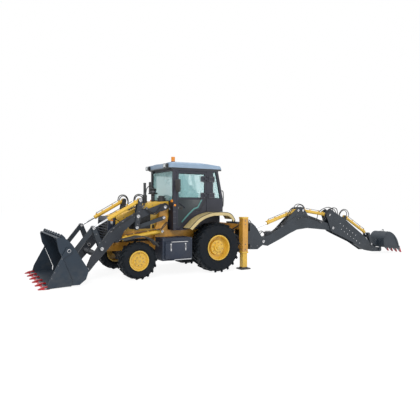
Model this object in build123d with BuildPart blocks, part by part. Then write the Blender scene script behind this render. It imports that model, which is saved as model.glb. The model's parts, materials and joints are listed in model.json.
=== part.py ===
from build123d import *
import os
from collections import namedtuple
from math import cos, radians, sin

os.makedirs("parts", exist_ok=True)

# Backhoe loader, millimetres. +X forward, +Y to the machine's left, +Z up.
# Stations along the machine are counted from the rear axle, heights from the ground.

# The rear axle's place ahead of the middle of the whole machine
REAR_AXLE_X = 1916
WHEELBASE = 2200

# Wheels. Every lug's corners lie on the tyre's radius
REAR_TYRE_R = 654
REAR_TYRE_W = 480
REAR_RIM_R = 333
REAR_WHEEL_Y = 850
FRONT_TYRE_R = 450
FRONT_TYRE_W = 330
FRONT_RIM_R = 243
FRONT_WHEEL_Y = 900
KINGPIN_Y = 700
RUN_GAP = 0.3
PIN_GAP = 0.5
SIDE_GAP = 5

# Chassis
SIDE_PLATE_Y = 465
SIDE_PLATE_T = 50
SIDE_PLATE_TOP = 1130
FRONT_RAIL_Y = 320
FRONT_RAIL_T = 70
FRONT_RAIL_TOP = 850
TOWER_Y = 522
TOWER_T = 40

# Loader linkage, all pins drawn in the arm's plane
ARM_Y = 605
ARM_T = 90
LEVER_T = 20
LINK_T = 15
EYE_T = 36
PIN_R = 28
ARM_PIVOT = (1355, 1728)
LEVER_PIN = (2092, 1494)
LEVER_TOP = (2035, 1888)
LEVEL_PIVOT = (1385, 1450)
LEVER_FOOT = (LEVER_PIN[0] + LEVEL_PIVOT[0] - ARM_PIVOT[0], LEVER_PIN[1] + LEVEL_PIVOT[1] - ARM_PIVOT[1])
LIFT_BASE = (1440, 1105)
LIFT_EYE = (2623, 925)
GUIDE_PIN = (2991, 741)
TILT_EYE = (3180, 1238)
BUCKET_PIN = (3346, 279)
BUCKET_EAR = (3575, 740)
JAW_PIN = (3845, 795)
BUCKET_HALF = 1186
BUCKET_SIDE_T = 20

# Cab
CAB_HALF = 740
CAB_FLOOR = 1150
ROOF_Z = 2700
ROOF_TOP = 2900
CAB_FRONT = 1110
CAB_REAR = -300
PILLAR = 70
GLASS_T = 6
SKIN_T = 12

# Backhoe linkage, all pins drawn in the boom's plane
HOE_Y = 300
RAIL_HALF = 860
STABILIZER_X = -865
STABILIZER_Y = 945
STABILIZER_OUTER = 172
STABILIZER_WALL = 12
SWING_X = -1330
BOOM_FOOT = (-1936, 681)
BOOM_RAM_EYE = (-1616, 1045)
BOOM_RAM_BASE = (-3360, 1600)
DIPPER_RAM_BASE = (-3560, 1600)
DIPPER_PIN = (-4880, 1000)
DIPPER_RAM_EYE = (-4720, 1440)
BUCKET_RAM_BASE = (-5556, 1370)
GUIDE_FOOT = (-6830, 370)
BUCKET_RAM_EYE = (-6700, 740)
HOE_BUCKET_EAR = (-7090, 325)
HOE_BUCKET_PIN = (-7300, 150)
HOE_BUCKET_HALF = 300


def side(y):
    """The plane at y that a side view is drawn in, seen from the left."""
    return Plane(origin=(REAR_AXLE_X, y, 0), x_dir=(1, 0, 0), z_dir=(0, -1, 0))


def plate(y, thickness, points, holes=()):
    """A flat plate centred on y from straight edges, with round holes (x, z, radius)."""
    with BuildSketch(side(y + thickness / 2)) as outline:
        with BuildLine():
            Polyline(points, close=True)
        make_face()
        for x, z, radius in holes:
            with Locations((x, z)):
                Circle(radius, mode=Mode.SUBTRACT)
    extrude(outline.sketch, amount=thickness)


def link(y, thickness, eyes, holes=()):
    """A plate hulled round its eyes (x, z, radius), with round holes (x, z, radius)."""
    with BuildSketch(side(y + thickness / 2)) as outline:
        for x, z, radius in eyes:
            with Locations((x, z)):
                Circle(radius)
        make_hull()
        for x, z, radius in holes:
            with Locations((x, z)):
                Circle(radius, mode=Mode.SUBTRACT)
    extrude(outline.sketch, amount=thickness)


def pin(y, width, at, radius, mode=Mode.ADD):
    """A round pin or hole along Y, centred on y."""
    with BuildSketch(side(y + width / 2)) as section:
        with Locations(at):
            Circle(radius)
    extrude(section.sketch, amount=width, mode=mode)


def rod(y, start, end, radius, mode=Mode.ADD):
    """A round bar from start to end in the side view's plane at y."""
    origin = Vector(REAR_AXLE_X + start[0], y, start[1])
    run = Vector(end[0] - start[0], 0, end[1] - start[1])
    with BuildSketch(Plane(origin=origin, z_dir=run)) as section:
        Circle(radius)
    extrude(section.sketch, amount=run.length, mode=mode)


def post(x, y, z0, z1, radius, mode=Mode.ADD):
    """A round upright bar or hole between two heights."""
    with BuildSketch(Plane.XY.offset(z0)) as section:
        with Locations((REAR_AXLE_X + x, y)):
            Circle(radius)
    extrude(section.sketch, amount=z1 - z0, mode=mode)


def block(x0, x1, y0, y1, z0, z1, mode=Mode.ADD):
    """A box between two stations, two widths and two heights."""
    with BuildSketch(Plane.XY.offset(z0)) as section:
        with Locations((REAR_AXLE_X + (x0 + x1) / 2, (y0 + y1) / 2)):
            Rectangle(abs(x1 - x0), abs(y1 - y0))
    extrude(section.sketch, amount=z1 - z0, mode=mode)


def point_at(start, end, distance):
    """The point at a distance from start on the way to end."""
    run = Vector(end[0] - start[0], end[1] - start[1])
    unit = run.normalized()
    return (start[0] + unit.X * distance, start[1] + unit.Y * distance)


def finish(part, name):
    """Labels a finished piece and writes its file."""
    part.label = name
    export_step(part, f"parts/{name}.step")


# Wheels: tyre and rim of each corner
Wheel = namedtuple("Wheel", "name x y tyre_r tyre_w rim_r hub_y dish sides lugs lug_t lug_h")
front = (FRONT_TYRE_R, FRONT_TYRE_W, FRONT_RIM_R, 70, 46, 28, 18, 38, 20)
rear = (REAR_TYRE_R, REAR_TYRE_W, REAR_RIM_R, 50, 120, 36, 20, 50, 30)
wheels = [
    Wheel("front_left", WHEELBASE, FRONT_WHEEL_Y, *front),
    Wheel("front_right", WHEELBASE, -FRONT_WHEEL_Y, *front),
    Wheel("rear_left", 0, REAR_WHEEL_Y, *rear),
    Wheel("rear_right", 0, -REAR_WHEEL_Y, *rear),
]
FLANGE = 18
LUG_LEAN = 35
LUG_INNER = 14
DISC_T = 16


def turned(wheel, stations, mode=Mode.ADD):
    """A ring of flat facets round the axle through stations (radius, outward place)."""
    out = 1 if wheel.y > 0 else -1
    sections = []
    for radius, place in stations:
        origin = (REAR_AXLE_X + wheel.x, wheel.y + out * place, wheel.tyre_r)
        with BuildSketch(Plane(origin=origin, x_dir=(1, 0, 0), z_dir=(0, 1, 0))) as section:
            RegularPolygon(radius, wheel.sides)
        sections.append(section.sketch)
    loft(sections, ruled=True, mode=mode)


for wheel in wheels:
    half = wheel.tyre_w / 2
    bead = wheel.rim_r - FLANGE
    bead_half = half - 45
    tread = wheel.tyre_r - wheel.lug_h
    # A lug runs from near the middle to near the shoulder, leaning in its tangent plane
    lug_reach = half - 12 - LUG_INNER
    lug_length = lug_reach / cos(radians(LUG_LEAN))
    half_extent = (lug_length * sin(radians(LUG_LEAN)) + wheel.lug_t * cos(radians(LUG_LEAN))) / 2
    pitch = 360 / wheel.lugs
    lug_top = (wheel.tyre_r - half_extent * sin(radians(pitch / 4))) / cos(radians(pitch / 4))
    with BuildPart() as tyre:
        turned(wheel, [
            (wheel.rim_r + 8, 1 - bead_half),
            (wheel.rim_r + 52, 4 - half),
            (wheel.tyre_r - 84, -half),
            (tread, 52 - half),
            (tread, half - 52),
            (wheel.tyre_r - 84, half),
            (wheel.rim_r + 52, half - 4),
            (wheel.rim_r + 8, bead_half - 1),
        ])
        lugs = []
        for row in (1, -1):
            for turn in range(wheel.lugs):
                around = 180 + pitch * (turn - row / 4)
                lean_at = Location((0, row * (LUG_INNER + lug_reach / 2), lug_top), (0, 0, row * LUG_LEAN))
                centre = Location((REAR_AXLE_X + wheel.x, wheel.y, wheel.tyre_r), (0, around, 0))
                bar = Box(wheel.lug_t, lug_length, wheel.lug_h + 16, align=(Align.CENTER, Align.CENTER, Align.MAX),
                          mode=Mode.PRIVATE)
                lugs.append(bar.moved(centre * lean_at))
        add(lugs)
        turned(wheel, [(bead + RUN_GAP, -half), (bead + RUN_GAP, half)], Mode.SUBTRACT)
    finish(tyre.part, f"tyre_{wheel.name}")
    face = bead_half + 12
    floor = wheel.hub_y + DISC_T
    with BuildPart() as rim:
        turned(wheel, [(bead, -face), (bead, face)])
        for out in (1, -1):
            turned(wheel, [(wheel.rim_r, out * bead_half), (wheel.rim_r, out * face)])
        turned(wheel, [(bead - 12, -face - 1), (bead - 16, wheel.hub_y)], Mode.SUBTRACT)
        turned(wheel, [(bead - 8, face + 1), (bead - 26, floor)], Mode.SUBTRACT)
        turned(wheel, [(bead * 0.66, floor), (bead * 0.60, floor + wheel.dish * 0.55)])
        turned(wheel, [(bead * 0.36, floor), (bead * 0.33, floor + wheel.dish * 0.95)])
        turned(wheel, [(bead * 0.2, floor), (bead * 0.17, floor + wheel.dish * 1.2)])
    finish(rim.part, f"rim_{wheel.name}")

# Chassis: mid side plates, front rails, loader towers and their pins
TOWER_TOP = 1810
TOW_X = 2830
TOW_Z = 750
TOW_R = 16
SIDE_PANEL_Z = 930
HOOD_HALF = 465
HOOD_T = 12
with BuildPart() as chassis_frame:
    plate(
        SIDE_PLATE_Y,
        SIDE_PLATE_T,
        [(-880, 760), (300, 760), (420, 740), (1180, 740), (1500, 640), (1600, 640), (1600, 850), (1500, SIDE_PLATE_TOP),
         (-880, SIDE_PLATE_TOP)],
    )
    block(1420, 2780, FRONT_RAIL_Y - FRONT_RAIL_T / 2, FRONT_RAIL_Y + FRONT_RAIL_T / 2, 640, FRONT_RAIL_TOP)
    plate(
        TOWER_Y,
        TOWER_T,
        [(1250, 700), (1600, 700), (1600, 1150), (1470, 1560), (1460, 1700), (1410, TOWER_TOP), (1290, TOWER_TOP),
         (1250, 1700)],
    )
    plate(
        HOOD_HALF - HOOD_T / 2,
        HOOD_T,
        [(1250, SIDE_PANEL_Z), (2600, SIDE_PANEL_Z), (2600, 1420), (2430, 1322), (2330, 1133), (1250, 1133)],
    )
    block(2520, 2600, FRONT_RAIL_Y, HOOD_HALF, 800, FRONT_RAIL_TOP)
    block(2520, 2600, HOOD_HALF - HOOD_T, HOOD_HALF, 800, SIDE_PANEL_Z + 40)
    pin(ARM_Y - 22, ARM_T + 50, ARM_PIVOT, 35)
    pin(ARM_Y - 22, ARM_T + 50, LIFT_BASE, PIN_R)
    pin(ARM_Y - 32, 110, LEVEL_PIVOT, PIN_R)
    mirror(about=Plane.XZ)
    block(1420, 1600, -TOWER_Y, TOWER_Y, 860, 1000)
    block(1420, 1560, -SIDE_PLATE_Y, SIDE_PLATE_Y, 700, 860)
    block(2680, 2780, -FRONT_RAIL_Y, FRONT_RAIL_Y, 640, FRONT_RAIL_TOP)
    for z0 in (TOW_Z - 45, TOW_Z + 25):
        block(2770, TOW_X + 30, -50, 50, z0, z0 + 20)
        with BuildSketch(Plane.XY.offset(z0 - 1)) as tow_bore:
            with Locations((REAR_AXLE_X + TOW_X, 0)):
                Circle(TOW_R)
        extrude(tow_bore.sketch, amount=22, mode=Mode.SUBTRACT)
    block(WHEELBASE - 80, WHEELBASE + 80, -FRONT_RAIL_Y, FRONT_RAIL_Y, 560, 700)
    block(-880, -700, -SIDE_PLATE_Y, SIDE_PLATE_Y, 850, 1060)
    block(300, 420, -SIDE_PLATE_Y, SIDE_PLATE_Y, 850, 1000)
finish(chassis_frame.part, "chassis_frame")

# Axles: a front beam with a fork round each knuckle, a rear banjo under the side plates
AXLE_Z = FRONT_TYRE_R
FORK_Z = 120
KINGPIN_R = 24
with BuildPart() as axles:
    block(WHEELBASE - 60, WHEELBASE + 60, -640, 640, AXLE_Z - 60, AXLE_Z + 70)
    block(WHEELBASE - 60, WHEELBASE + 60, -150, 150, AXLE_Z + 60, 559.5)
    for out in (1, -1):
        block(WHEELBASE - 50, WHEELBASE + 50, out * 600, out * 640, AXLE_Z - FORK_Z - 30, AXLE_Z + FORK_Z + 30)
        for z0 in (AXLE_Z - FORK_Z - 30, AXLE_Z + FORK_Z):
            block(WHEELBASE - 45, WHEELBASE + 45, out * 620, out * 745, z0, z0 + 30)
    for out in (1, -1):
        post(WHEELBASE, out * KINGPIN_Y, AXLE_Z - FORK_Z - 40, AXLE_Z + FORK_Z + 40, KINGPIN_R + PIN_GAP, Mode.SUBTRACT)
    pin(0, 2 * (REAR_WHEEL_Y + wheels[2].hub_y - RUN_GAP), (0, REAR_TYRE_R), 100)
    with BuildSketch(side(150)) as banjo:
        with Locations((0, REAR_TYRE_R)):
            Circle(190)
    extrude(banjo.sketch, amount=300)
    for out in (1, -1):
        block(-110, 110, out * (SIDE_PLATE_Y - 60), out * (SIDE_PLATE_Y + 60), REAR_TYRE_R, 760 - RUN_GAP)
finish(axles.part, "axles")

# Knuckles: a post between the fork's arms with a spindle out to the wheel
for name, out in (("knuckle_left", 1), ("knuckle_right", -1)):
    with BuildPart() as knuckle:
        post(WHEELBASE, out * KINGPIN_Y, AXLE_Z - FORK_Z + SIDE_GAP, AXLE_Z + FORK_Z - SIDE_GAP, 42)
        post(WHEELBASE, out * KINGPIN_Y, AXLE_Z - FORK_Z - 35, AXLE_Z + FORK_Z + 35, KINGPIN_R)
        spindle = FRONT_WHEEL_Y + wheels[0].hub_y - RUN_GAP - KINGPIN_Y - 30
        pin(out * (KINGPIN_Y + 30 + spindle / 2), spindle, (WHEELBASE, AXLE_Z), 50)
    finish(knuckle.part, name)


# Engine
with BuildPart() as engine_block:
    block(1640, 2420, -260, 260, FRONT_RAIL_TOP + RUN_GAP, 1480)
    block(1900, 1980, -FRONT_RAIL_Y, FRONT_RAIL_Y, FRONT_RAIL_TOP + RUN_GAP, 900)
finish(engine_block.part, "engine_block")

# Hood, a shell open below and behind, hinged over the grille
HOOD_HINGE = (2560, 1470)
with BuildPart() as hood:
    plate(
        0,
        2 * HOOD_HALF,
        [(1232, 1136), (1190, 1470), (1190, 1870), (1620, 1850), (1900, 1775), (2420, 1545), (2590, 1490), (2590, 1440),
         (2420, 1330), (2320, 1136)],
    )
    with BuildSketch(side(HOOD_HALF - HOOD_T)) as hollow:
        with BuildLine():
            Polyline((1170, 1000), (1170, 1858), (1620, 1838), (1898, 1763), (2416, 1533), (2600, 1474), (2600, 1000),
                     close=True)
        make_face()
    extrude(hollow.sketch, amount=2 * (HOOD_HALF - HOOD_T), mode=Mode.SUBTRACT)
    for out in (1, -1):
        plate(out * 408, 16, [(2544, 1456), (2576, 1456), (2576, 1488), (2544, 1498)], [(*HOOD_HINGE, 8 + PIN_GAP)])
finish(hood.part, "hood")

# Exhaust stack, intake stack with its mushroom cap and bowl, and a vent dome, all on the hood
with BuildPart() as intake_exhaust:
    for x, y, z0, z1, radius in (
        (1722, 150, 1760, 2040, 50),
        (1722, 150, 2040, 2344, 34),
        (1489, 150, 1760, 2062, 45),
        (1489, 150, 2062, 2079, 125),
        (1489, 150, 2079, 2180, 72),
        (1489, 150, 2180, 2192, 80),
        (1325, 330, 1760, 1950, 105),
        (1325, 330, 1950, 2002, 82),
    ):
        post(x, y, z0, z1, radius)
    with BuildSketch(side(HOOD_HALF)) as under_hood:
        with BuildLine():
            Polyline(
                (1190, 1870 + RUN_GAP),
                (1620, 1850 + RUN_GAP),
                (1900, 1775 + RUN_GAP),
                (1900, 1700),
                (1190, 1700),
                close=True,
            )
        make_face()
    extrude(under_hood.sketch, amount=2 * HOOD_HALF, mode=Mode.SUBTRACT)
finish(intake_exhaust.part, "intake_exhaust")

# Grille: the radiator's slatted panel with the hood's hinge, and the nose box ahead of it with its slots
NOSE_HALF = 450
NOSE_SLOTS = 7
NOSE_SLOT_STEP = 68
with BuildPart() as grille:
    block(2550, 2585, -NOSE_HALF, NOSE_HALF, FRONT_RAIL_TOP + RUN_GAP, 1420)
    for row in range(8):
        block(2560, 2600, -400, 400, 900 + row * 62, 930 + row * 62, mode=Mode.SUBTRACT)
    for out in (1, -1):
        block(2550, 2570, out * 380, out * 392, 1410, 1479)
        pin(out * 405, 50, HOOD_HINGE, 8)
    plate(
        0,
        2 * NOSE_HALF,
        [(2612, FRONT_RAIL_TOP + 2), (2762, FRONT_RAIL_TOP + 2), (2762, 1010), (2790, 1150), (2776, 1440), (2720, 1484),
         (2612, 1484)],
    )
    block(2584, 2613, -NOSE_HALF, NOSE_HALF, FRONT_RAIL_TOP + 2, 1300)
    block(2640, 2740, -NOSE_HALF + 30, NOSE_HALF - 30, 900, 1440, mode=Mode.SUBTRACT)
    for row in range(NOSE_SLOTS):
        z0 = 925 + row * NOSE_SLOT_STEP
        block(2730, 2800, -NOSE_HALF + 60, NOSE_HALF - 60, z0, z0 + 44, mode=Mode.SUBTRACT)
    for out in (1, -1):
        block(2655, 2725, out * (NOSE_HALF - 40), out * (NOSE_HALF + 1), 1310, 1420, mode=Mode.SUBTRACT)
finish(grille.part, "grille")

# Front fenders: an arc behind each wheel and a straight tongue ahead of its top, on a strap from the side tank
FENDER_R = 590
FENDER_SKIN = 10
FENDER_LIP = 24
FENDER_REAR_DEG = 145
TANK_FRONT = WHEELBASE - FRONT_TYRE_R - 160


def front_fender_band(y, width, depth):
    """The fender's side-view band of this depth, from y inward by width."""
    turn = radians(FENDER_REAR_DEG)
    curves = []
    for radius in (FENDER_R, FENDER_R - depth):
        middle = (WHEELBASE + radius * cos((turn + radians(90)) / 2), FRONT_TYRE_R + radius * sin((turn + radians(90)) / 2))
        foot = (WHEELBASE + radius * cos(turn), FRONT_TYRE_R + radius * sin(turn))
        crown = (WHEELBASE, FRONT_TYRE_R + radius)
        tip = (WHEELBASE + 400, FRONT_TYRE_R + 515 - FENDER_R + radius)
        curves.append((foot, middle, crown, tip))
    with BuildSketch(side(y)) as band:
        with BuildLine():
            for foot, middle, crown, tip in curves:
                ThreePointArc(foot, middle, crown)
                Line(crown, tip)
            Line(curves[0][0], curves[1][0])
            Line(curves[0][3], curves[1][3])
        make_face()
    extrude(band.sketch, amount=width)


with BuildPart() as front_fenders:
    front_fender_band(FRONT_WHEEL_Y + 170, 340, FENDER_SKIN)
    front_fender_band(FRONT_WHEEL_Y + 170, FENDER_SKIN, FENDER_LIP)
    block(TANK_FRONT + RUN_GAP, 1762, 745, 805, 826, 856)
    mirror(about=Plane.XZ)
finish(front_fenders.part, "front_fenders")

# Battery box on the left and fuel tank on the right, each with its steps
with BuildPart() as side_tanks:
    block(771, TANK_FRONT, TOWER_Y + TOWER_T / 2 + RUN_GAP, 1000, 400, 960)
    block(845, 1349, 995, 1030, 421, 863)
    for z0 in (470, 660):
        block(885, 1309, 985, 1031, z0, z0 + 130, mode=Mode.SUBTRACT)
    mirror(about=Plane.XZ)
finish(side_tanks.part, "side_tanks")

# Rear fenders: a curved skin over each wheel with a turned-down outer lip
FENDER_IN = 590
FENDER_OUT = 1090


def inset(at, distance):
    """The side-view point moved a distance towards the rear axle."""
    run = Vector(at[0], at[1] - REAR_TYRE_R)
    kept = run.normalized() * (run.length - distance)
    return (kept.X, kept.Y + REAR_TYRE_R)


def fender_band(y, width, depth, outer=0):
    """The fender's curve as a band of this depth, from y inward by width."""
    stations = [(884, 1190), (650, 1405), (430, 1520), (165, 1585), (-204, 1583), (-370, 1530), (-480, 1400)]
    top = [inset(at, outer) for at in stations]
    under = [inset(at, outer + depth) for at in stations]
    with BuildSketch(side(y)) as band:
        with BuildLine():
            for curve in (top, under):
                Line(curve[0], curve[1])
                ThreePointArc(curve[1], curve[2], curve[3])
                Line(curve[3], curve[4])
                ThreePointArc(curve[4], curve[5], curve[6])
            Line(top[0], under[0])
            Line(top[6], under[6])
        make_face()
    extrude(band.sketch, amount=width)


with BuildPart() as rear_fenders:
    fender_band(FENDER_OUT, FENDER_OUT - FENDER_IN, SKIN_T)
    fender_band(FENDER_OUT, 20, 85)
    mirror(about=Plane.XZ)
finish(rear_fenders.part, "rear_fenders")

# Door hinges: an upright pin between two lugs, in a knuckle of the door
HINGE_X = 197
HINGE_Y = CAB_HALF + 15
HINGE_PIN_R = 8
HINGES = (2010, 2450)

# Cab frame: floor, pillars, rails, lower walls and mirrors
DOOR_T = 40
HEAD_Z = 2650
with BuildPart() as cab_frame:
    block(790, 1180, -CAB_HALF, CAB_HALF, SIDE_PLATE_TOP + RUN_GAP, CAB_FLOOR)
    block(-300, 800, -FENDER_IN + RUN_GAP, FENDER_IN - RUN_GAP, SIDE_PLATE_TOP + RUN_GAP, CAB_FLOOR)
    for out in (1, -1):
        block(1095, 1180, out * (CAB_HALF - PILLAR), out * CAB_HALF, CAB_FLOOR, ROOF_Z)
        block(0, 195, out * (CAB_HALF - PILLAR), out * CAB_HALF, 1590, ROOF_Z)
        plate(
            out * (CAB_HALF - PILLAR / 2),
            PILLAR,
            [(-310, 1590), (-310, 1950), (-150, ROOF_Z), (-80, ROOF_Z), (-240, 1950), (0, 1950), (0, 1590)],
        )
        plate(
            out * (FENDER_IN - RUN_GAP - SKIN_T / 2),
            SKIN_T,
            [(-300, CAB_FLOOR), (790, CAB_FLOOR), (790, 1250), (430, 1500), (165, 1560), (-204, 1560), (-300, 1550)],
        )
        block(-100, 1180, out * (CAB_HALF - PILLAR), out * CAB_HALF, HEAD_Z + 10, ROOF_Z)
        block(1110, 1130, out * (CAB_HALF - 1), out * 820, 2260, 2280)
        block(1105, 1140, out * 800, out * 1000, 2117, 2422)
        for z in HINGES:
            block(-40, 150, out * (CAB_HALF - 1), out * (CAB_HALF + 12), z - 60, z + 90)
            for z0 in (z - 35, z + 60):
                block(120, HINGE_X - 7, out * (CAB_HALF - 1), out * (CAB_HALF + 28), z0, z0 + 15)
                block(120, HINGE_X + 8, out * (CAB_HALF + 3.5), out * (CAB_HALF + 28), z0, z0 + 15)
            post(HINGE_X, out * HINGE_Y, z - 35, z + 75, HINGE_PIN_R)
        plate(
            out * (CAB_HALF - PILLAR / 2),
            PILLAR - 20,
            [(190, 1930), (395, 1600), (540, 1600), (684, 1480), (893, 1270), (953, 1210), (984, 1149),
             (900, 1149), (900, 1190), (655, 1415), (435, 1532), (190, 1592)],
        )
    block(-310, -298, -CAB_HALF + 2, CAB_HALF - 2, 1590, 1950)
    block(-310, -298, -FENDER_IN + RUN_GAP, FENDER_IN - RUN_GAP, CAB_FLOOR - 10, 1600)
    block(1150, 1180, -CAB_HALF, CAB_HALF, CAB_FLOOR, 1880)
    block(1110, 1180, -CAB_HALF, CAB_HALF, HEAD_Z + 10, ROOF_Z)
    block(-160, -90, -CAB_HALF, CAB_HALF, HEAD_Z + 10, ROOF_Z)
finish(cab_frame.part, "cab_frame")

ROOF_CROWN = 8

# Roof: its side view's outline, cut to the front view's faceted shoulders and to rounded corners
SHOULDER_R = 92
shoulder = []
for turn in (0, 22.5, 45, 67.5, 90):
    y = CAB_HALF - SHOULDER_R * (1 - cos(radians(turn)))
    shoulder.append((y, ROOF_TOP - ROOF_CROWN - SHOULDER_R * (1 - sin(radians(turn)))))
opposite = [(-y, z) for y, z in reversed(shoulder)]
with BuildPart() as roof:
    plate(
        0,
        2 * CAB_HALF,
        [(-290, ROOF_Z + RUN_GAP), (1180, ROOF_Z + RUN_GAP), (1262, 2716), (1290, 2765), (1282, 2855), (1032, 2897),
         (464, ROOF_TOP), (234, 2874), (-208, 2825), (-308, 2724)],
    )
    with BuildSketch(Plane(origin=(REAR_AXLE_X - 400, 0, 0), x_dir=(0, 1, 0), z_dir=(1, 0, 0))) as front_view:
        with BuildLine():
            Polyline([(CAB_HALF, ROOF_Z), *shoulder, (0, ROOF_TOP), *opposite, (-CAB_HALF, ROOF_Z)], close=True)
        make_face()
    extrude(front_view.sketch, amount=1800, mode=Mode.INTERSECT)
    with BuildSketch(Plane.XY.offset(ROOF_Z)) as top_view:
        with Locations((REAR_AXLE_X + 491, 0)):
            RectangleRounded(1598, 2 * CAB_HALF, 110)
    extrude(top_view.sketch, amount=400, mode=Mode.INTERSECT)
    block(-210, 1160, -CAB_HALF + PILLAR, CAB_HALF - PILLAR, ROOF_Z, 2790, mode=Mode.SUBTRACT)
finish(roof.part, "roof")

# Fixed glass: windscreen, rear window and quarter windows
GLASS_HALF = CAB_HALF - PILLAR - RUN_GAP
GLASS_TOP = HEAD_Z + 10 - RUN_GAP
with BuildPart() as cab_glass:
    block(1160, 1160 + GLASS_T, -GLASS_HALF, GLASS_HALF, 1880 + RUN_GAP, GLASS_TOP)
    with BuildSketch(side(GLASS_HALF)) as back:
        with BuildLine():
            Polyline((-300, 1950 + RUN_GAP), (-154, GLASS_TOP), (-148, GLASS_TOP), (-294, 1950 + RUN_GAP), close=True)
        make_face()
    extrude(back.sketch, amount=2 * GLASS_HALF)
    for out in (1, -1):
        plate(
            out * (CAB_HALF - PILLAR / 2),
            GLASS_T,
            [(-239.6, 1950 + RUN_GAP), (-RUN_GAP, 1950 + RUN_GAP), (-RUN_GAP, GLASS_TOP), (-88.2, GLASS_TOP)],
        )
finish(cab_glass.part, "cab_glass")

# Doors: frame and lower panel round a window, hinged at the rear edge
DOOR_EDGE = [(1090, 1165), (1090, HEAD_Z), (200, HEAD_Z), (200, 1925), (405, 1605), (545, 1605), (690, 1485),
             (900, 1275), (960, 1215), (990, 1165)]
HANDLE = ((850, 1705), (1005, 1822))
WINDOW_EDGE = [(1035, 1960), (1035, HEAD_Z - 55), (260, HEAD_Z - 55), (260, 1960)]
for name, out in (("left", 1), ("right", -1)):
    door_y = out * (CAB_HALF - DOOR_T / 2)
    with BuildPart() as door:
        plate(door_y, DOOR_T, DOOR_EDGE)
        with BuildSketch(side(door_y + DOOR_T / 2)) as window:
            with BuildLine():
                Polyline(WINDOW_EDGE, close=True)
            make_face()
        extrude(window.sketch, amount=DOOR_T, mode=Mode.SUBTRACT)
        rod(out * (CAB_HALF + 28), *HANDLE, 9)
        for z in HINGES:
            block(HINGE_X, 280, out * (CAB_HALF - 1), out * (CAB_HALF + 26), z - 15, z + 55)
            block(250, 383, out * (CAB_HALF - 1), out * (CAB_HALF + 12), z - 60, z + 90)
            post(HINGE_X, out * HINGE_Y, z - 15, z + 55, 14)
            post(HINGE_X, out * HINGE_Y, z - 20, z + 60, HINGE_PIN_R + PIN_GAP, Mode.SUBTRACT)
        for distance in (8, 190):
            pin(out * (CAB_HALF + 14), 28, point_at(*HANDLE, distance), 9.5)
    finish(door.part, f"door_{name}")
    with BuildPart() as door_glass:
        plate(door_y, GLASS_T, [(1034.5, 1960.5), (1034.5, HEAD_Z - 55.5), (260.5, HEAD_Z - 55.5), (260.5, 1960.5)])
    finish(door_glass.part, f"door_glass_{name}")

# Operator's station: seat pedestal, dash, column, steering wheel and lever console
with BuildPart() as operator_station:
    block(280, 680, -180, 180, CAB_FLOOR + RUN_GAP, 1560)
    block(960, 1149, -350, 350, CAB_FLOOR + RUN_GAP, 1700)
    rod(0, (1060, 1690), (919, 1950), 35)
    with BuildSketch(Plane(origin=(REAR_AXLE_X + 924, 0, 1941), z_dir=(-130, 0, 240))) as spokes:
        Circle(190)
        Circle(165, mode=Mode.SUBTRACT)
        Rectangle(350, 30)
        Circle(45)
    extrude(spokes.sketch, amount=25)
finish(operator_station.part, "operator_station")

with BuildPart() as seat_cushion:
    block(260, 740, -240, 240, 1560 + RUN_GAP, 1660)
    block(200, 320, -240, 240, 1660, 2130)
    block(220, 300, -120, 120, 2130, 2330)
finish(seat_cushion.part, "seat_cushion")

# Lamps: front and rear work lamps, beacon, position and tail lamps
BEACON_Y = 300
BEACON_R = 50
with BuildPart() as lamps:
    for out in (1, -1):
        block(1290 + RUN_GAP, 1365, out * 520, out * 680, 2728, 2832)
        plate(out * 460, 160, [(-350, 2752), (-280.8, 2752), (-232.3, 2801), (-262, 2830), (-350, 2830)])
        block(1180 + RUN_GAP, 1215, out * 660, out * 720, 1850, 1910)
        block(-500, -440, out * 1000, out * (FENDER_OUT - 20 - RUN_GAP), 1325, 1385)
    beacon_base = ROOF_TOP - ROOF_CROWN * (BEACON_Y - BEACON_R) / (CAB_HALF - SHOULDER_R) + RUN_GAP
    post(980, BEACON_Y, beacon_base, ROOF_TOP + 150, BEACON_R)
finish(lamps.part, "lamps")

# Loader arms: two box arms joined by a cross tube, with their own pins
OUTER_LEVER_Y = ARM_Y + ARM_T / 2 + SIDE_GAP + LEVER_T / 2
INNER_LEVER_Y = ARM_Y - ARM_T / 2 - SIDE_GAP - LEVER_T / 2
JOINT_W = ARM_T + 2 * (SIDE_GAP + LEVER_T) + 12
CLEVIS_T = 14
CROSS_TUBE = (3083, 600)
CROSS_TUBE_R = 68
with BuildPart() as loader_arms:
    with BuildSketch(side(ARM_Y + ARM_T / 2)) as arm:
        with BuildLine():
            Polyline((1355, 1808), (1436, 1805), (1749, 1689), (2011, 1653), (2180, 1561), (2539, 1362), (2785, 1174),
                     (3250, 538), (3322, 372), (3290, 220), (3116, 426), (2539, 1075), (2160, 1390), (1850, 1518), (1330, 1652),
                     close=True)
        make_face()
        for at, radius in ((ARM_PIVOT, 80), (BUCKET_PIN, 75)):
            with Locations(at):
                Circle(radius)
        for at, radius in ((ARM_PIVOT, 35 + PIN_GAP), (BUCKET_PIN, 35 + PIN_GAP)):
            with Locations(at):
                Circle(radius, mode=Mode.SUBTRACT)
    extrude(arm.sketch, amount=ARM_T)
    for y in (ARM_Y + ARM_T / 2 - CLEVIS_T / 2, ARM_Y - ARM_T / 2 + CLEVIS_T / 2):
        link(y, CLEVIS_T, [(LIFT_EYE[0], LIFT_EYE[1], 55), (2500, 1180, 70), (2700, 1080, 70)])
        pin(y, CLEVIS_T + 14, LIFT_EYE, PIN_R)
    pin(ARM_Y, JOINT_W, LEVER_PIN, PIN_R)
    pin(ARM_Y, JOINT_W, GUIDE_PIN, PIN_R)
    with BuildSketch(side(ARM_Y - ARM_T / 2)) as cross_tube:
        with Locations(CROSS_TUBE):
            Circle(CROSS_TUBE_R)
    extrude(cross_tube.sketch, amount=ARM_Y - ARM_T / 2)
    pin(ARM_Y, EYE_T + 14, LIFT_EYE, 70, mode=Mode.SUBTRACT)
    mirror(about=Plane.XZ)
finish(loader_arms.part, "loader_arms")

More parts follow.
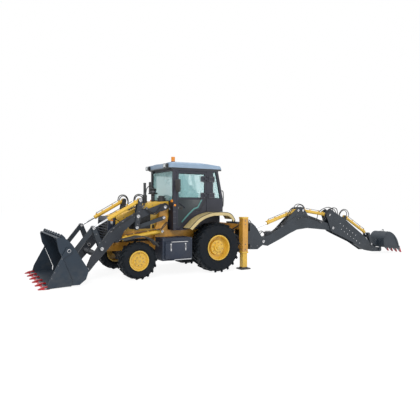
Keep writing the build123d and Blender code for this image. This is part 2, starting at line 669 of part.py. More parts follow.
# Rear levers: twin plates with the pins at their ends
with BuildPart() as rear_levers:
    for y in (OUTER_LEVER_Y, INNER_LEVER_Y):
        link(
            y,
            LEVER_T,
            [(*LEVER_TOP, 55), (*LEVER_FOOT, 55), (*LEVER_PIN, 65)],
            [(*LEVER_PIN, PIN_R + PIN_GAP)],
        )
    pin(ARM_Y, JOINT_W, LEVER_TOP, PIN_R)
    pin(ARM_Y, JOINT_W, LEVER_FOOT, PIN_R)
    mirror(about=Plane.XZ)
finish(rear_levers.part, "rear_levers")

with BuildPart() as levelling_links:
    link(
        ARM_Y,
        30,
        [(*LEVEL_PIVOT, 48), (*LEVER_FOOT, 48)],
        [(*LEVEL_PIVOT, PIN_R + PIN_GAP), (*LEVER_FOOT, PIN_R + PIN_GAP)],
    )
    mirror(about=Plane.XZ)
finish(levelling_links.part, "levelling_links")


def ram_barrel(y, base, eye, length, radius, rod_r, eye_r, neck=20):
    """A ram's tube from its base eye, bored for piston and rod."""
    rod(y, base, point_at(base, eye, length), radius)
    pin(y, EYE_T, base, eye_r)
    rod(y, point_at(base, eye, eye_r + 12), point_at(base, eye, length - 40), radius - 12, mode=Mode.SUBTRACT)
    rod(y, point_at(base, eye, length - 50), point_at(base, eye, length + 5), rod_r + PIN_GAP, mode=Mode.SUBTRACT)
    for out in (1, -1):
        pin(y + out * (EYE_T / 2 + 60), 120, base, eye_r + neck, mode=Mode.SUBTRACT)
    pin(y, EYE_T + 10, base, PIN_R + PIN_GAP, mode=Mode.SUBTRACT)


def ram_rod(y, base, eye, start, radius, rod_r, eye_r):
    """A ram's rod with its piston and end eye."""
    rod(y, point_at(base, eye, start), eye, rod_r)
    rod(y, point_at(base, eye, start), point_at(base, eye, start + 30), radius - 12 - PIN_GAP)
    pin(y, EYE_T, eye, eye_r)
    for out in (1, -1):
        pin(y + out * (EYE_T / 2 + 60), 120, eye, eye_r + 10, mode=Mode.SUBTRACT)
    pin(y, EYE_T + 10, eye, PIN_R + PIN_GAP, mode=Mode.SUBTRACT)


# Loader rams on both sides: lift rams below the arms, tilt rams above them
for name, base, eye, length, start, radius, rod_r in (
    ("lift", LIFT_BASE, LIFT_EYE, 1050, 100, 50, 26),
    ("tilt", LEVER_TOP, TILT_EYE, 915, 410, 46, 26),
):
    with BuildPart() as barrels:
        ram_barrel(ARM_Y, base, eye, length, radius, rod_r, 56)
        mirror(about=Plane.XZ)
    finish(barrels.part, f"{name}_barrels")
    with BuildPart() as rods:
        ram_rod(ARM_Y, base, eye, start, radius, rod_r, 45)
        mirror(about=Plane.XZ)
    finish(rods.part, f"{name}_rods")

# Guide pins, guide levers, link pins and bucket links at the front of the arms
with BuildPart() as guide_levers:
    for y in (OUTER_LEVER_Y, INNER_LEVER_Y):
        link(
            y,
            LEVER_T,
            [(*GUIDE_PIN, 58), (*TILT_EYE, 50)],
            [(*GUIDE_PIN, PIN_R + PIN_GAP + 10), (*TILT_EYE, PIN_R + PIN_GAP)],
        )
    mirror(about=Plane.XZ)
finish(guide_levers.part, "guide_levers")

with BuildPart() as guide_pins:
    for y in (OUTER_LEVER_Y, INNER_LEVER_Y):
        pin(y, LEVER_T - 1, GUIDE_PIN, PIN_R + 10)
        pin(y, LEVER_T + 1, GUIDE_PIN, PIN_R + PIN_GAP, mode=Mode.SUBTRACT)
    mirror(about=Plane.XZ)
finish(guide_pins.part, "guide_pins")

LINK_CLEVIS_Y = EYE_T / 2 + 4 + LINK_T / 2
with BuildPart() as bucket_links:
    for y in (ARM_Y + LINK_CLEVIS_Y, ARM_Y - LINK_CLEVIS_Y):
        link(y, LINK_T, [(*TILT_EYE, 48), (*BUCKET_EAR, 48)], [(*TILT_EYE, PIN_R + PIN_GAP)])
        pin(y, LINK_T, BUCKET_EAR, PIN_R)
    mirror(about=Plane.XZ)
finish(bucket_links.part, "bucket_links")

with BuildPart() as link_pins:
    for out in (1, -1):
        pin(ARM_Y + out * (EYE_T / 2 + 5 + JOINT_W / 2) / 2, JOINT_W / 2 - EYE_T / 2 - 5, TILT_EYE, PIN_R)
    mirror(about=Plane.XZ)
finish(link_pins.part, "link_pins")

with BuildPart() as bucket_pins:
    pin(ARM_Y, JOINT_W, BUCKET_PIN, 35)
    mirror(about=Plane.XZ)
finish(bucket_pins.part, "bucket_pins")

# Loader bucket: a curved moldboard between side plates, with the pin ears and the top rail's collars
JAW_GAP = 6
SKIN_BUCKET = 18
# The moldboard's side view as a heel, a straight back, a curved crown and the lip
HEEL = (3480, 150)
BACK_LOW = (3416, 344)
BACK_HIGH = (3700, 805)
CROWN_MID = (3806, 965)
CROWN_END = (3940, 1082)
LIP_END = (4080, 1082)
FLOOR_END = (3790, 40)
FLOOR_HEEL = (3620, 40)
TOP_RAIL = (3985, 1106)
TOP_RAIL_R = 22
COLLARS = 8
GUARD_L = 120


def bucket_edge(grow):
    """The moldboard's outer edge as builder lines, moved inward by grow."""
    Line((FLOOR_END[0], FLOOR_END[1] + grow), (FLOOR_HEEL[0] + grow * 0.3, FLOOR_HEEL[1] + grow))
    Line((FLOOR_HEEL[0] + grow * 0.3, FLOOR_HEEL[1] + grow), (HEEL[0] + grow, HEEL[1] + grow * 0.4))
    Line((HEEL[0] + grow, HEEL[1] + grow * 0.4), (BACK_LOW[0] + grow * 1.1, BACK_LOW[1] - grow * 0.1))
    Line((BACK_LOW[0] + grow * 1.1, BACK_LOW[1] - grow * 0.1), (BACK_HIGH[0] + grow * 0.85, BACK_HIGH[1] - grow * 0.52))
    ThreePointArc(
        (BACK_HIGH[0] + grow * 0.85, BACK_HIGH[1] - grow * 0.52),
        (CROWN_MID[0] + grow * 0.78, CROWN_MID[1] - grow * 0.62),
        (CROWN_END[0] + grow * 0.4, CROWN_END[1] - grow),
    )
    Line((CROWN_END[0] + grow * 0.4, CROWN_END[1] - grow), (LIP_END[0], LIP_END[1] - grow))


with BuildPart() as loader_bucket:
    for out in (1, -1):
        side_y = out * (BUCKET_HALF - BUCKET_SIDE_T - JAW_GAP - BUCKET_SIDE_T / 2)
        with BuildSketch(side(side_y + BUCKET_SIDE_T / 2)) as cheek:
            with BuildLine():
                bucket_edge(0)
                Polyline(LIP_END, (4092, 1040), (4045, 800), (3965, 648), (3771, 160), FLOOR_END)
            make_face()
            with Locations(JAW_PIN):
                Circle(30 + PIN_GAP, mode=Mode.SUBTRACT)
        extrude(cheek.sketch, amount=BUCKET_SIDE_T)
        for x, z, radius in ((4050, 1040, 26), (3975, 700, 26)):
            pin(side_y - out * BUCKET_SIDE_T, BUCKET_SIDE_T, (x, z), radius)
    back_half = BUCKET_HALF - BUCKET_SIDE_T - JAW_GAP - 5
    with BuildSketch(side(back_half)) as moldboard:
        with BuildLine():
            bucket_edge(0)
            bucket_edge(SKIN_BUCKET)
            Line(FLOOR_END, (FLOOR_END[0], FLOOR_END[1] + SKIN_BUCKET))
            Line(LIP_END, (LIP_END[0], LIP_END[1] - SKIN_BUCKET))
        make_face()
    extrude(moldboard.sketch, amount=2 * back_half)
    pin(0, 2 * back_half, TOP_RAIL, TOP_RAIL_R)
    for collar in range(COLLARS):
        y = (collar - (COLLARS - 1) / 2) * (2 * back_half - 120) / (COLLARS - 1)
        link(y, 50, [(*TOP_RAIL, TOP_RAIL_R + 14), (TOP_RAIL[0] - 70, TOP_RAIL[1] - 34, 8)])
    for x, z in ((3596, 632), (3480, 446)):
        plate(0, 2 * (ARM_Y - 90), [(x, z), point_at((x, z), BACK_HIGH, GUARD_L), (x + 14, z + 110), (x - 36, z + 70)])
    for out in (1, -1):
        for y in (OUTER_LEVER_Y, INNER_LEVER_Y):
            link(
                out * y,
                LEVER_T,
                [(*BUCKET_PIN, 65), (3452, 396, 12), (3502, 152, 10)],
                [(*BUCKET_PIN, 35 + PIN_GAP)],
            )
        link(out * ARM_Y, 28, [(*BUCKET_EAR, 45), (3676, 758, 9), (3560, 570, 9)], [(*BUCKET_EAR, PIN_R + PIN_GAP)])
finish(loader_bucket.part, "loader_bucket")

# Jaw: side plates with the hinge, floor with the cutting edge and its teeth
TEETH = 6
with BuildPart() as bucket_jaw:
    for out in (1, -1):
        with BuildSketch(side(out * (BUCKET_HALF - BUCKET_SIDE_T / 2) + BUCKET_SIDE_T / 2)) as jaw_side:
            with BuildLine():
                Polyline((3800, 760), (3890, 880), (3981, 700), (4246, 204), (4290, 30), (3800, 30), (3785, 160),
                         (3973, 640), (3870, 700), close=True)
            make_face()
            with Locations(JAW_PIN):
                Circle(70)
        extrude(jaw_side.sketch, amount=BUCKET_SIDE_T)
        pin(out * (BUCKET_HALF - 23), 54, JAW_PIN, 30)
    plate(
        0,
        2 * (BUCKET_HALF - BUCKET_SIDE_T),
        [(3798, 60), (3797, 30), (4300, 12), (4380, 12), (4380, 28), (4300, 40)],
    )
    for tooth in range(TEETH):
        y = (tooth - (TEETH - 1) / 2) * (2 * BUCKET_HALF - 110) / (TEETH - 1)
        plate(y, 65, [(4280, 8), (4280, 62), (4370, 58), (4468, 22), (4468, 8)])
finish(bucket_jaw.part, "bucket_jaw")

# Rear frame: two side-shift rails between the stabilizers' outer tubes
RAIL_X = (-1010, -880.3)
with BuildPart() as rear_frame:
    for z0, z1 in ((1090, 1240), (480, 610)):
        block(*RAIL_X, -RAIL_HALF, RAIL_HALF, z0, z1)
    block(-950, -880.3, -380, 380, 480, 1240)
    half = STABILIZER_OUTER / 2
    for out in (1, -1):
        block(STABILIZER_X - half, STABILIZER_X + half, out * (STABILIZER_Y - half), out * (STABILIZER_Y + half), 455,
              1443)
        inner = half - STABILIZER_WALL
        block(STABILIZER_X - inner, STABILIZER_X + inner, out * (STABILIZER_Y - inner), out * (STABILIZER_Y + inner),
              440, 1425, mode=Mode.SUBTRACT)
finish(rear_frame.part, "rear_frame")

# Stabilizers: a square leg in each tube, with a foot pad
LEG_GAP = 0.5
LEG_TOP = 860
for name, out in (("left", 1), ("right", -1)):
    with BuildPart() as stabilizer:
        half = STABILIZER_OUTER / 2 - STABILIZER_WALL - LEG_GAP
        y = out * STABILIZER_Y
        block(STABILIZER_X - half, STABILIZER_X + half, y - half, y + half, 60, LEG_TOP)
        block(STABILIZER_X - 150, STABILIZER_X + 150, y - 130, y + 130, 20, 45)
        block(STABILIZER_X - 85, STABILIZER_X + 85, y - 85, y + 85, 40, 70)
    finish(stabilizer.part, f"stabilizer_{name}")

# Side-shift carriage: a plate with hooks round the rails and two lugs for the swing post
LUG_Z = ((560, 620), (1010, 1070))
SWING_R = 40
with BuildPart() as side_shift_carriage:
    block(-1055, -1015, HOE_Y - 280, HOE_Y + 280, 430, 1290)
    block(-1030, -890, HOE_Y - 280, HOE_Y + 280, 1240 + RUN_GAP, 1290)
    block(-1030, -965, HOE_Y - 280, HOE_Y + 280, 430, 475)
    for z0, z1 in LUG_Z:
        with BuildSketch(Plane.XY.offset(z0)) as lug:
            with Locations((REAR_AXLE_X + SWING_X, HOE_Y)):
                Circle(90)
            with Locations((REAR_AXLE_X + (SWING_X - 1040) / 2, HOE_Y)):
                Rectangle(-1040 - SWING_X, 180)
            with Locations((REAR_AXLE_X + SWING_X, HOE_Y)):
                Circle(SWING_R + PIN_GAP, mode=Mode.SUBTRACT)
        extrude(lug.sketch, amount=z1 - z0)
finish(side_shift_carriage.part, "side_shift_carriage")

# Kingpost: swing post, side plates and the ears of boom and boom ram
POST_HALF = 150
POST_T = 25
FOOT_R = 35
BOOM_ROD_R = 32
BOOM_EAR_Y = BOOM_ROD_R + SIDE_GAP + 10
with BuildPart() as kingpost:
    with BuildSketch(Plane.XY.offset(450)) as post:
        with Locations((REAR_AXLE_X + SWING_X, HOE_Y)):
            Circle(SWING_R)
    extrude(post.sketch, amount=800)
    with BuildSketch(Plane.XY.offset(LUG_Z[0][1] + SIDE_GAP)) as tube:
        with Locations((REAR_AXLE_X + SWING_X, HOE_Y)):
            Circle(85)
    extrude(tube.sketch, amount=LUG_Z[1][0] - LUG_Z[0][1] - 2 * SIDE_GAP)
    block(-1500, -1380, HOE_Y - POST_HALF, HOE_Y + POST_HALF, 625 + SIDE_GAP, 1010 - SIDE_GAP)
    for out in (1, -1):
        plate(
            HOE_Y + out * (POST_HALF - POST_T / 2),
            POST_T,
            [(-1440, 470), (-1440, 1240), (-1500, 1254), (-1660, 1130), (-1880, 820), (-2000, 735), (-2010, 640),
             (-1900, 570), (-1721, 457)],
        )
    block(-1465, -1440, HOE_Y - POST_HALF, HOE_Y + POST_HALF, 470, 1240)
    pin(HOE_Y, 2 * POST_HALF + 20, BOOM_FOOT, FOOT_R)
    for out in (1, -1):
        link(HOE_Y + out * BOOM_EAR_Y, 20, [(*BOOM_RAM_EYE, 50), (-1500, 1100, 55), (-1500, 950, 55)])
        pin(HOE_Y + out * (BOOM_EAR_Y + 18), 20, BOOM_RAM_EYE, PIN_R)
finish(kingpost.part, "kingpost")

# Boom: a box beam with twin hump plates that carry both rams
BOOM_HALF = 90
HUMP_T = 20
HUMP_Y = 72
with BuildPart() as boom:
    with BuildSketch(side(HOE_Y + BOOM_HALF)) as beam:
        with BuildLine():
            Polyline((-1936, 771), (-2221, 865), (-2465, 965), (-2846, 1190), (-3240, 1400), (-3500, 1440),
                     (-3780, 1435), (-4120, 1340), (-4560, 1190), (-4930, 1098), (-4960, 920), (-4263, 985), (-3741, 1033),
                     (-3310, 994), (-2980, 872), (-2594, 708), (-2135, 532), (-1900, 600), close=True)
        make_face()
        with Locations(BOOM_FOOT, DIPPER_PIN):
            Circle(90)
    extrude(beam.sketch, amount=2 * BOOM_HALF)
    for out in (1, -1):
        plate(
            HOE_Y + out * HUMP_Y,
            HUMP_T,
            [(-2465, 960), (-2846, 1287), (-3320, 1665), (-3463, 1715), (-3600, 1690), (-3784, 1440), (-3500, 1400),
             (-3240, 1390), (-2846, 1170)],
        )
    pin(HOE_Y, 2 * BOOM_HALF + 20, BOOM_RAM_BASE, PIN_R)
    pin(HOE_Y, 2 * BOOM_HALF + 20, DIPPER_RAM_BASE, PIN_R)
    block(-2330, -2120, HOE_Y - 60, HOE_Y + 60, 800, 950)
    for out in (1, -1):
        pin(HOE_Y + out * (POST_HALF - POST_T - SIDE_GAP - 15), 30, BOOM_FOOT, 80)
    pin(HOE_Y, 2 * POST_HALF, BOOM_FOOT, FOOT_R + PIN_GAP, mode=Mode.SUBTRACT)
    pin(HOE_Y, 2 * POST_HALF, DIPPER_PIN, FOOT_R + PIN_GAP, mode=Mode.SUBTRACT)
finish(boom.part, "boom")

# Dipper: twin side plates closed at the tail, open ahead for the sliding extension
DIPPER_T = 16
DIPPER_Y = 113
SLIDE_SLOPE = 29


def along_slide(x, below=0):
    """The point at station x on the extension's lower edge, or this far under it."""
    fall = sin(radians(SLIDE_SLOPE)) / cos(radians(SLIDE_SLOPE))
    return (x, 980 + (x + 5180) * fall - below)


with BuildPart() as dipper:
    for out in (1, -1):
        plate(
            HOE_Y + out * DIPPER_Y,
            DIPPER_T,
            [(-4746, 1641), (-4600, 1560), (-4553, 1488), (-4715, 1100), (-4800, 900), (-5064, 790), (-5854, 484),
             (-6430, 179), (-6700, 165), (-6760, 250), (-6720, 450), (-6460, 657), (-5846, 1034), (-5444, 1293),
             (-5017, 1490)],
        )
        pin(HOE_Y + out * (EYE_T / 2 + 7 + 10), 20, DIPPER_RAM_EYE, 50)
        pin(HOE_Y + out * ((EYE_T / 2 + 27 + DIPPER_Y) / 2), DIPPER_Y - EYE_T / 2 - 27, DIPPER_RAM_EYE, 50)
        pin(HOE_Y + out * (DIPPER_Y + DIPPER_T / 2 + 6), 12, DIPPER_RAM_EYE, PIN_R)
    pin(HOE_Y, 2 * DIPPER_Y + DIPPER_T + 24, DIPPER_PIN, FOOT_R)
    block(-5200, -5100, HOE_Y - DIPPER_Y, HOE_Y + DIPPER_Y, 1330, 1400)
    block(-5140, -5040, HOE_Y - DIPPER_Y, HOE_Y + DIPPER_Y, 820, 860)
    with BuildSketch(side(HOE_Y + DIPPER_Y)) as saddle:
        with BuildLine():
            Polyline(along_slide(-6060, 1), along_slide(-6440, 1), (-6440, 200), (-6060, 400), close=True)
        make_face()
    extrude(saddle.sketch, amount=2 * DIPPER_Y)
finish(dipper.part, "dipper")

# Dipper extension: a box that slides between the plates, with the bucket's pivots at its nose
SLIDE_HALF = 98
with BuildPart() as dipper_extension:
    with BuildSketch(side(HOE_Y + SLIDE_HALF)) as tongue:
        with BuildLine():
            Polyline((-5290, 1180), (-6850, 315), (-7240, 195), (-7300, 80), (-6900, 100), along_slide(-6680),
                     along_slide(-5180), close=True)
        make_face()
        with Locations(HOE_BUCKET_PIN):
            Circle(75)
    extrude(tongue.sketch, amount=2 * SLIDE_HALF)
    for out in (1, -1):
        link(HOE_Y + out * (EYE_T / 2 + 7 + 10), 20, [(*BUCKET_RAM_BASE, 45), (-5450, 1090, 50), (-5560, 1030, 50)])
    pin(HOE_Y, 110, BUCKET_RAM_BASE, PIN_R)
    pin(HOE_Y, 2 * SLIDE_HALF + 2 * (SIDE_GAP + LINK_T + 5), GUIDE_FOOT, PIN_R)
    link(HOE_Y, 2 * SLIDE_HALF, [(*GUIDE_FOOT, 60), (-6780, 280, 60), (-6960, 220, 60)])
    pin(HOE_Y, 2 * SLIDE_HALF + 10, HOE_BUCKET_PIN, FOOT_R + PIN_GAP, mode=Mode.SUBTRACT)
finish(dipper_extension.part, "dipper_extension")

# Backhoe rams on the middle plane
BUCKET_ROD_R = 28
for name, base, eye, length, start, radius, rod_r in (
    ("boom", BOOM_RAM_BASE, BOOM_RAM_EYE, 1250, 560, 55, BOOM_ROD_R),
    ("dipper", DIPPER_RAM_BASE, DIPPER_RAM_EYE, 1050, 110, 52, 30),
    ("hoe_bucket", BUCKET_RAM_BASE, BUCKET_RAM_EYE, 1180, 130, 48, BUCKET_ROD_R),
):
    with BuildPart() as barrel:
        ram_barrel(HOE_Y, base, eye, length, radius, rod_r, 50, 40)
    finish(barrel.part, f"{name}_barrel")
    with BuildPart() as ram:
        ram_rod(HOE_Y, base, eye, start, radius, rod_r, 45)
    finish(ram.part, f"{name}_rod")

# Backhoe bucket linkage: guide links and the bucket link
GUIDE_Y = SLIDE_HALF + SIDE_GAP + LINK_T / 2
STUB_Y = BUCKET_ROD_R + 4
with BuildPart() as hoe_guides:
    for out in (1, -1):
        link(
            HOE_Y + out * GUIDE_Y,
            LINK_T,
            [(*GUIDE_FOOT, 48), (*BUCKET_RAM_EYE, 48)],
            [(*GUIDE_FOOT, PIN_R + PIN_GAP)],
        )
        stub = GUIDE_Y + LINK_T / 2 - STUB_Y
        pin(HOE_Y + out * (STUB_Y + stub / 2), stub, BUCKET_RAM_EYE, PIN_R)
finish(hoe_guides.part, "hoe_guides")

HOE_LINK_Y = 55
with BuildPart() as hoe_link:
    for out in (1, -1):
        link(
            HOE_Y + out * HOE_LINK_Y,
            20,
            [(*BUCKET_RAM_EYE, 48), (*HOE_BUCKET_EAR, 48)],
            [(*BUCKET_RAM_EYE, PIN_R + PIN_GAP)],
        )
        pin(HOE_Y + out * (HOE_LINK_Y + 16), 12, HOE_BUCKET_EAR, PIN_R)
finish(hoe_link.part, "hoe_link")

# Backhoe bucket: a curved shell between side plates, with ears, edge strips and four teeth
HOE_TEETH = 4
HOE_SKIN = 16
LINK_EAR_Y = SLIDE_HALF + SIDE_GAP + 15
HOE_NECK = (-7280, 250)
HOE_SHOULDER = (-7268, 575)
HOE_CROWN_MID = (-7405, 760)
HOE_CROWN = (-7600, 800)
HOE_BELLY = (-7905, 640)
HOE_EDGE = (-8150, 180)
EAR_FEET = ((-7282, 330, 9), (-7278, 540, 9))


def shell_edge(grow):
    """The bucket's outer curve as builder lines, moved inward by grow."""
    Line((HOE_NECK[0] - grow, HOE_NECK[1]), (HOE_SHOULDER[0] - grow, HOE_SHOULDER[1] - grow * 0.3))
    ThreePointArc(
        (HOE_SHOULDER[0] - grow, HOE_SHOULDER[1] - grow * 0.3),
        (HOE_CROWN_MID[0] - grow * 0.7, HOE_CROWN_MID[1] - grow * 0.7),
        (HOE_CROWN[0], HOE_CROWN[1] - grow),
    )
    ThreePointArc(
        (HOE_CROWN[0], HOE_CROWN[1] - grow),
        (HOE_BELLY[0] + grow * 0.7, HOE_BELLY[1] - grow * 0.7),
        (HOE_EDGE[0] + grow, HOE_EDGE[1]),
    )


with BuildPart() as hoe_bucket:
    with BuildSketch(side(HOE_Y + HOE_BUCKET_HALF)) as shell:
        with BuildLine():
            shell_edge(0)
            shell_edge(HOE_SKIN)
            Line(HOE_NECK, (HOE_NECK[0] - HOE_SKIN, HOE_NECK[1]))
            Line(HOE_EDGE, (HOE_EDGE[0] + HOE_SKIN, HOE_EDGE[1]))
        make_face()
    extrude(shell.sketch, amount=2 * HOE_BUCKET_HALF)
    for out in (1, -1):
        cheek_y = HOE_Y + out * (HOE_BUCKET_HALF - HOE_SKIN / 2)
        with BuildSketch(side(cheek_y + HOE_SKIN / 2)) as cheek:
            with BuildLine():
                shell_edge(0)
                Polyline(HOE_EDGE, (-8120, 150), (-7330, 235), HOE_NECK)
            make_face()
        extrude(cheek.sketch, amount=HOE_SKIN)
        plate(cheek_y + out * HOE_SKIN / 2, 20, [(-8140, 160), (-8126, 215), (-7310, 312), (-7290, 250), (-7330, 235)])
        link(HOE_Y + out * LINK_EAR_Y, 30, [(*HOE_BUCKET_PIN, 62), *EAR_FEET])
        link(HOE_Y + out * 25, 20, [(*HOE_BUCKET_EAR, 45), *EAR_FEET], [(*HOE_BUCKET_EAR, PIN_R + 10)])
    pin(HOE_Y, 2 * (LINK_EAR_Y + 15) + 16, HOE_BUCKET_PIN, FOOT_R)
    plate(HOE_Y, 2 * HOE_BUCKET_HALF, [(-8166, 168), (-8146, 262), (-8128, 262), (-8120, 150), (-8150, 150)])
    for tooth in range(HOE_TEETH):
        y = HOE_Y + (tooth - (HOE_TEETH - 1) / 2) * (2 * HOE_BUCKET_HALF - 70) / (HOE_TEETH - 1)
        plate(y, 60, [(-8100, 230), (-8172, 250), (-8300, 12), (-8280, 10), (-8120, 130)])
finish(hoe_bucket.part, "hoe_bucket")
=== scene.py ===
import json
import logging
import math
from collections.abc import Iterable, Sequence
from dataclasses import dataclass, field
from enum import Enum
from itertools import product

import bmesh
import bpy
from mathutils import Matrix, Vector


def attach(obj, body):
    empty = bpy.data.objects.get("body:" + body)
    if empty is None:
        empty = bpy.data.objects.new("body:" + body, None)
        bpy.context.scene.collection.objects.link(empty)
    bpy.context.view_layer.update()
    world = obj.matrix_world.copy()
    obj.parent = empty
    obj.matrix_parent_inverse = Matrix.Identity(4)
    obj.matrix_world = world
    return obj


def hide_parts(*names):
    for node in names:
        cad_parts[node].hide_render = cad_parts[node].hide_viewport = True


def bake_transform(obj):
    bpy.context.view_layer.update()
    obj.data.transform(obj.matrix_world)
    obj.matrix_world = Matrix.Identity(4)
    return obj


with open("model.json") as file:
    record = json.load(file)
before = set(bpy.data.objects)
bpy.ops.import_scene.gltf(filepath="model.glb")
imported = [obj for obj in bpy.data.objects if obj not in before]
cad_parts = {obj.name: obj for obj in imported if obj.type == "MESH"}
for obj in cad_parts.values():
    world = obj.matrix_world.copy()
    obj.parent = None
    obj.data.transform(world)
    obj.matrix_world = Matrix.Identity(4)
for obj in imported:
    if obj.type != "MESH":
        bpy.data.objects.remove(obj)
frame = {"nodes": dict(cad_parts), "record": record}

LOG = logging.getLogger("machine")
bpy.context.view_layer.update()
REAR_AXLE_X = 1.916
Colour = tuple[float, float, float]
Point = tuple[float, float, float]
Flat = tuple[float, float]
LEFT, AHEAD, UP = Vector((0.0, 1.0, 0.0)), Vector((1.0, 0.0, 0.0)), Vector((0.0, 0.0, 1.0))
SMOOTH_STEPS = 5
HOE_Y = 300
SIDES = (("left", 1), ("right", -1))


class Wire:
    """One value in a node graph, with arithmetic that adds Math nodes."""

    def __init__(self, graph: "Graph", socket: bpy.types.NodeSocket) -> None:
        """Wraps an output socket of a graph."""
        self.graph = graph
        self.socket = socket

    def _math(self, operation: str, first: object, second: object) -> "Wire":
        """Adds a Math node.

        Args:
            operation: the Math node's operation.
            first: its first value, a number or a Wire.
            second: its second value, a number or a Wire.

        Returns:
            The node's output.
        """
        return self.graph.node("ShaderNodeMath", {"operation": operation}, {0: first, 1: second})

    def __add__(self, other: object) -> "Wire":
        """self + other."""
        return self._math("ADD", self, other)

    def __radd__(self, other: object) -> "Wire":
        """other + self."""
        return self._math("ADD", other, self)

    def __sub__(self, other: object) -> "Wire":
        """self - other."""
        return self._math("SUBTRACT", self, other)

    def __rsub__(self, other: object) -> "Wire":
        """other - self."""
        return self._math("SUBTRACT", other, self)

    def __mul__(self, other: object) -> "Wire":
        """self * other."""
        return self._math("MULTIPLY", self, other)

    def __rmul__(self, other: object) -> "Wire":
        """other * self."""
        return self._math("MULTIPLY", other, self)

    def above(self, limit: float) -> "Wire":
        """1 where self is over a limit, 0 elsewhere."""
        return self._math("GREATER_THAN", self, limit)

    def below(self, limit: float) -> "Wire":
        """1 where self is under a limit, 0 elsewhere."""
        return self._math("LESS_THAN", self, limit)

    def size(self) -> "Wire":
        """self without its sign."""
        return self._math("ABSOLUTE", self, 0.0)

    def root(self) -> "Wire":
        """The square root of self."""
        return self._math("SQRT", self, 0.0)

    def wave(self) -> "Wire":
        """The sine of self, from -1 to 1."""
        return self._math("SINE", self, 0.0)

    def angle(self, other: "Wire") -> "Wire":
        """The angle of the point (other, self) about the origin."""
        return self._math("ARCTAN2", self, other)

    def over(self, low: float, high: float) -> "Wire":
        """Maps low to 0 and high to 1, held at both ends.

        Args:
            low: the value that gives 0.
            high: the value that gives 1.

        Returns:
            The mapped value.
        """
        settings = {"interpolation_type": "SMOOTHSTEP"}
        return self.graph.node("ShaderNodeMapRange", settings, {0: self, 1: low, 2: high, 3: 0.0, 4: 1.0})


class Graph:
    """A material's node graph round one Principled shader."""

    def __init__(self, name: str) -> None:
        """Makes the material and finds its shader.

        Args:
            name: the material's name.
        """
        self.material = bpy.data.materials.new(name)
        self.material.use_nodes = True
        self.tree = self.material.node_tree
        self.shader = next(n for n in self.tree.nodes if n.type == "BSDF_PRINCIPLED")

    def node(self, kind: str, settings: dict[str, object], inputs: dict[object, object], output: object = 0) -> Wire:
        """Adds a node, its settings first and then what its sockets take.

        Args:
            kind: the node's type.
            settings: the node's properties.
            inputs: a number, colour or Wire for each socket by name or place.
            output: the name or place of the output that is wanted.

        Returns:
            That output.
        """
        made = self.tree.nodes.new(kind)
        for key, value in settings.items():
            setattr(made, key, value)
        for key, value in inputs.items():
            if isinstance(value, Wire):
                self.tree.links.new(value.socket, made.inputs[key])
            elif isinstance(value, tuple) and len(value) == 3 and made.inputs[key].type == "RGBA":
                made.inputs[key].default_value = (*value, 1.0)
            else:
                made.inputs[key].default_value = value
        return Wire(self, made.outputs[output])

    def place(self) -> Wire:
        """The point on the surface in the machine's frame, in metres."""
        return self.node("ShaderNodeTexCoord", {}, {}, "Object")

    def along(self, axis: str) -> Wire:
        """The point's place along X, Y or Z."""
        return self.node("ShaderNodeSeparateXYZ", {}, {0: self.place()}, axis)

    def inside(self, zone: "Zone") -> Wire:
        """1 within a zone, 0 outside it.

        Args:
            zone: the zone, with None where a side is open.

        Returns:
            The mask.
        """
        mask = None
        for axis, low, high in zip("XYZ", zone.low, zone.high):
            value = self.along(axis)
            if axis == "Y" and zone.mirrored:
                value = value.size()
            for test in ((value.above, low), (value.below, high)):
                if test[1] is not None:
                    shift = REAR_AXLE_X if axis == "X" else 0.0
                    part = test[0](test[1] / 1000 + shift)
                    mask = part if mask is None else mask * part
        return mask

    def edges(self, radius: float) -> Wire:
        """1 near the edges of the shape, 0 on its faces.

        Args:
            radius: the reach of an edge in metres.

        Returns:
            The mask.
        """
        soft = self.node("ShaderNodeBevel", {"samples": 4}, {"Radius": radius})
        plain = self.node("ShaderNodeNewGeometry", {}, {}, "Normal")
        turn = self.node("ShaderNodeVectorMath", {"operation": "DOT_PRODUCT"}, {0: soft, 1: plain}, "Value")
        return (1.0 - turn).over(0.02, 0.2)

    def noise(self, scale: float, detail: float = 3.0) -> Wire:
        """Noise from 0 to 1 over the machine's frame.

        Args:
            scale: features per metre.
            detail: octaves.

        Returns:
            The noise value.
        """
        inputs = {"Vector": self.place(), "Scale": scale, "Detail": detail, "Roughness": 0.55}
        return self.node("ShaderNodeTexNoise", {}, inputs, 0)

    def mix(self, share: object, first: object, second: object) -> Wire:
        """Mixes two colours.

        Args:
            share: how much of the second.
            first: a colour or Wire.
            second: a colour or Wire.

        Returns:
            The mixed colour.
        """
        return self.node("ShaderNodeMix", {"data_type": "RGBA"}, {0: share, 6: first, 7: second}, 2)

    def feed(self, name: str, value: object) -> None:
        """Sets or links one input of the shader.

        Args:
            name: the input's name.
            value: a number, colour or Wire.
        """
        socket = self.shader.inputs[name]
        if isinstance(value, Wire):
            self.tree.links.new(value.socket, socket)
        elif isinstance(value, tuple):
            socket.default_value = (*value, 1.0)
        else:
            socket.default_value = value

    def bump(self, height: Wire, strength: float, distance: float) -> None:
        """Raises the surface by a height that varies over it.

        Args:
            height: the varying height.
            strength: from 0 to 1.
            distance: metres for a height of 1.
        """
        inputs = {"Height": height, "Strength": strength, "Distance": distance}
        self.feed("Normal", self.node("ShaderNodeBump", {}, inputs, 0))



@dataclass(frozen=True)
class Zone:
    """A box of the machine in another colour, in millimetres from the rear axle, None where open."""

    low: tuple[float | None, float | None, float | None]
    high: tuple[float | None, float | None, float | None]
    colour: Colour
    metallic: float = 0.0
    roughness: float = 0.35
    mirrored: bool = True


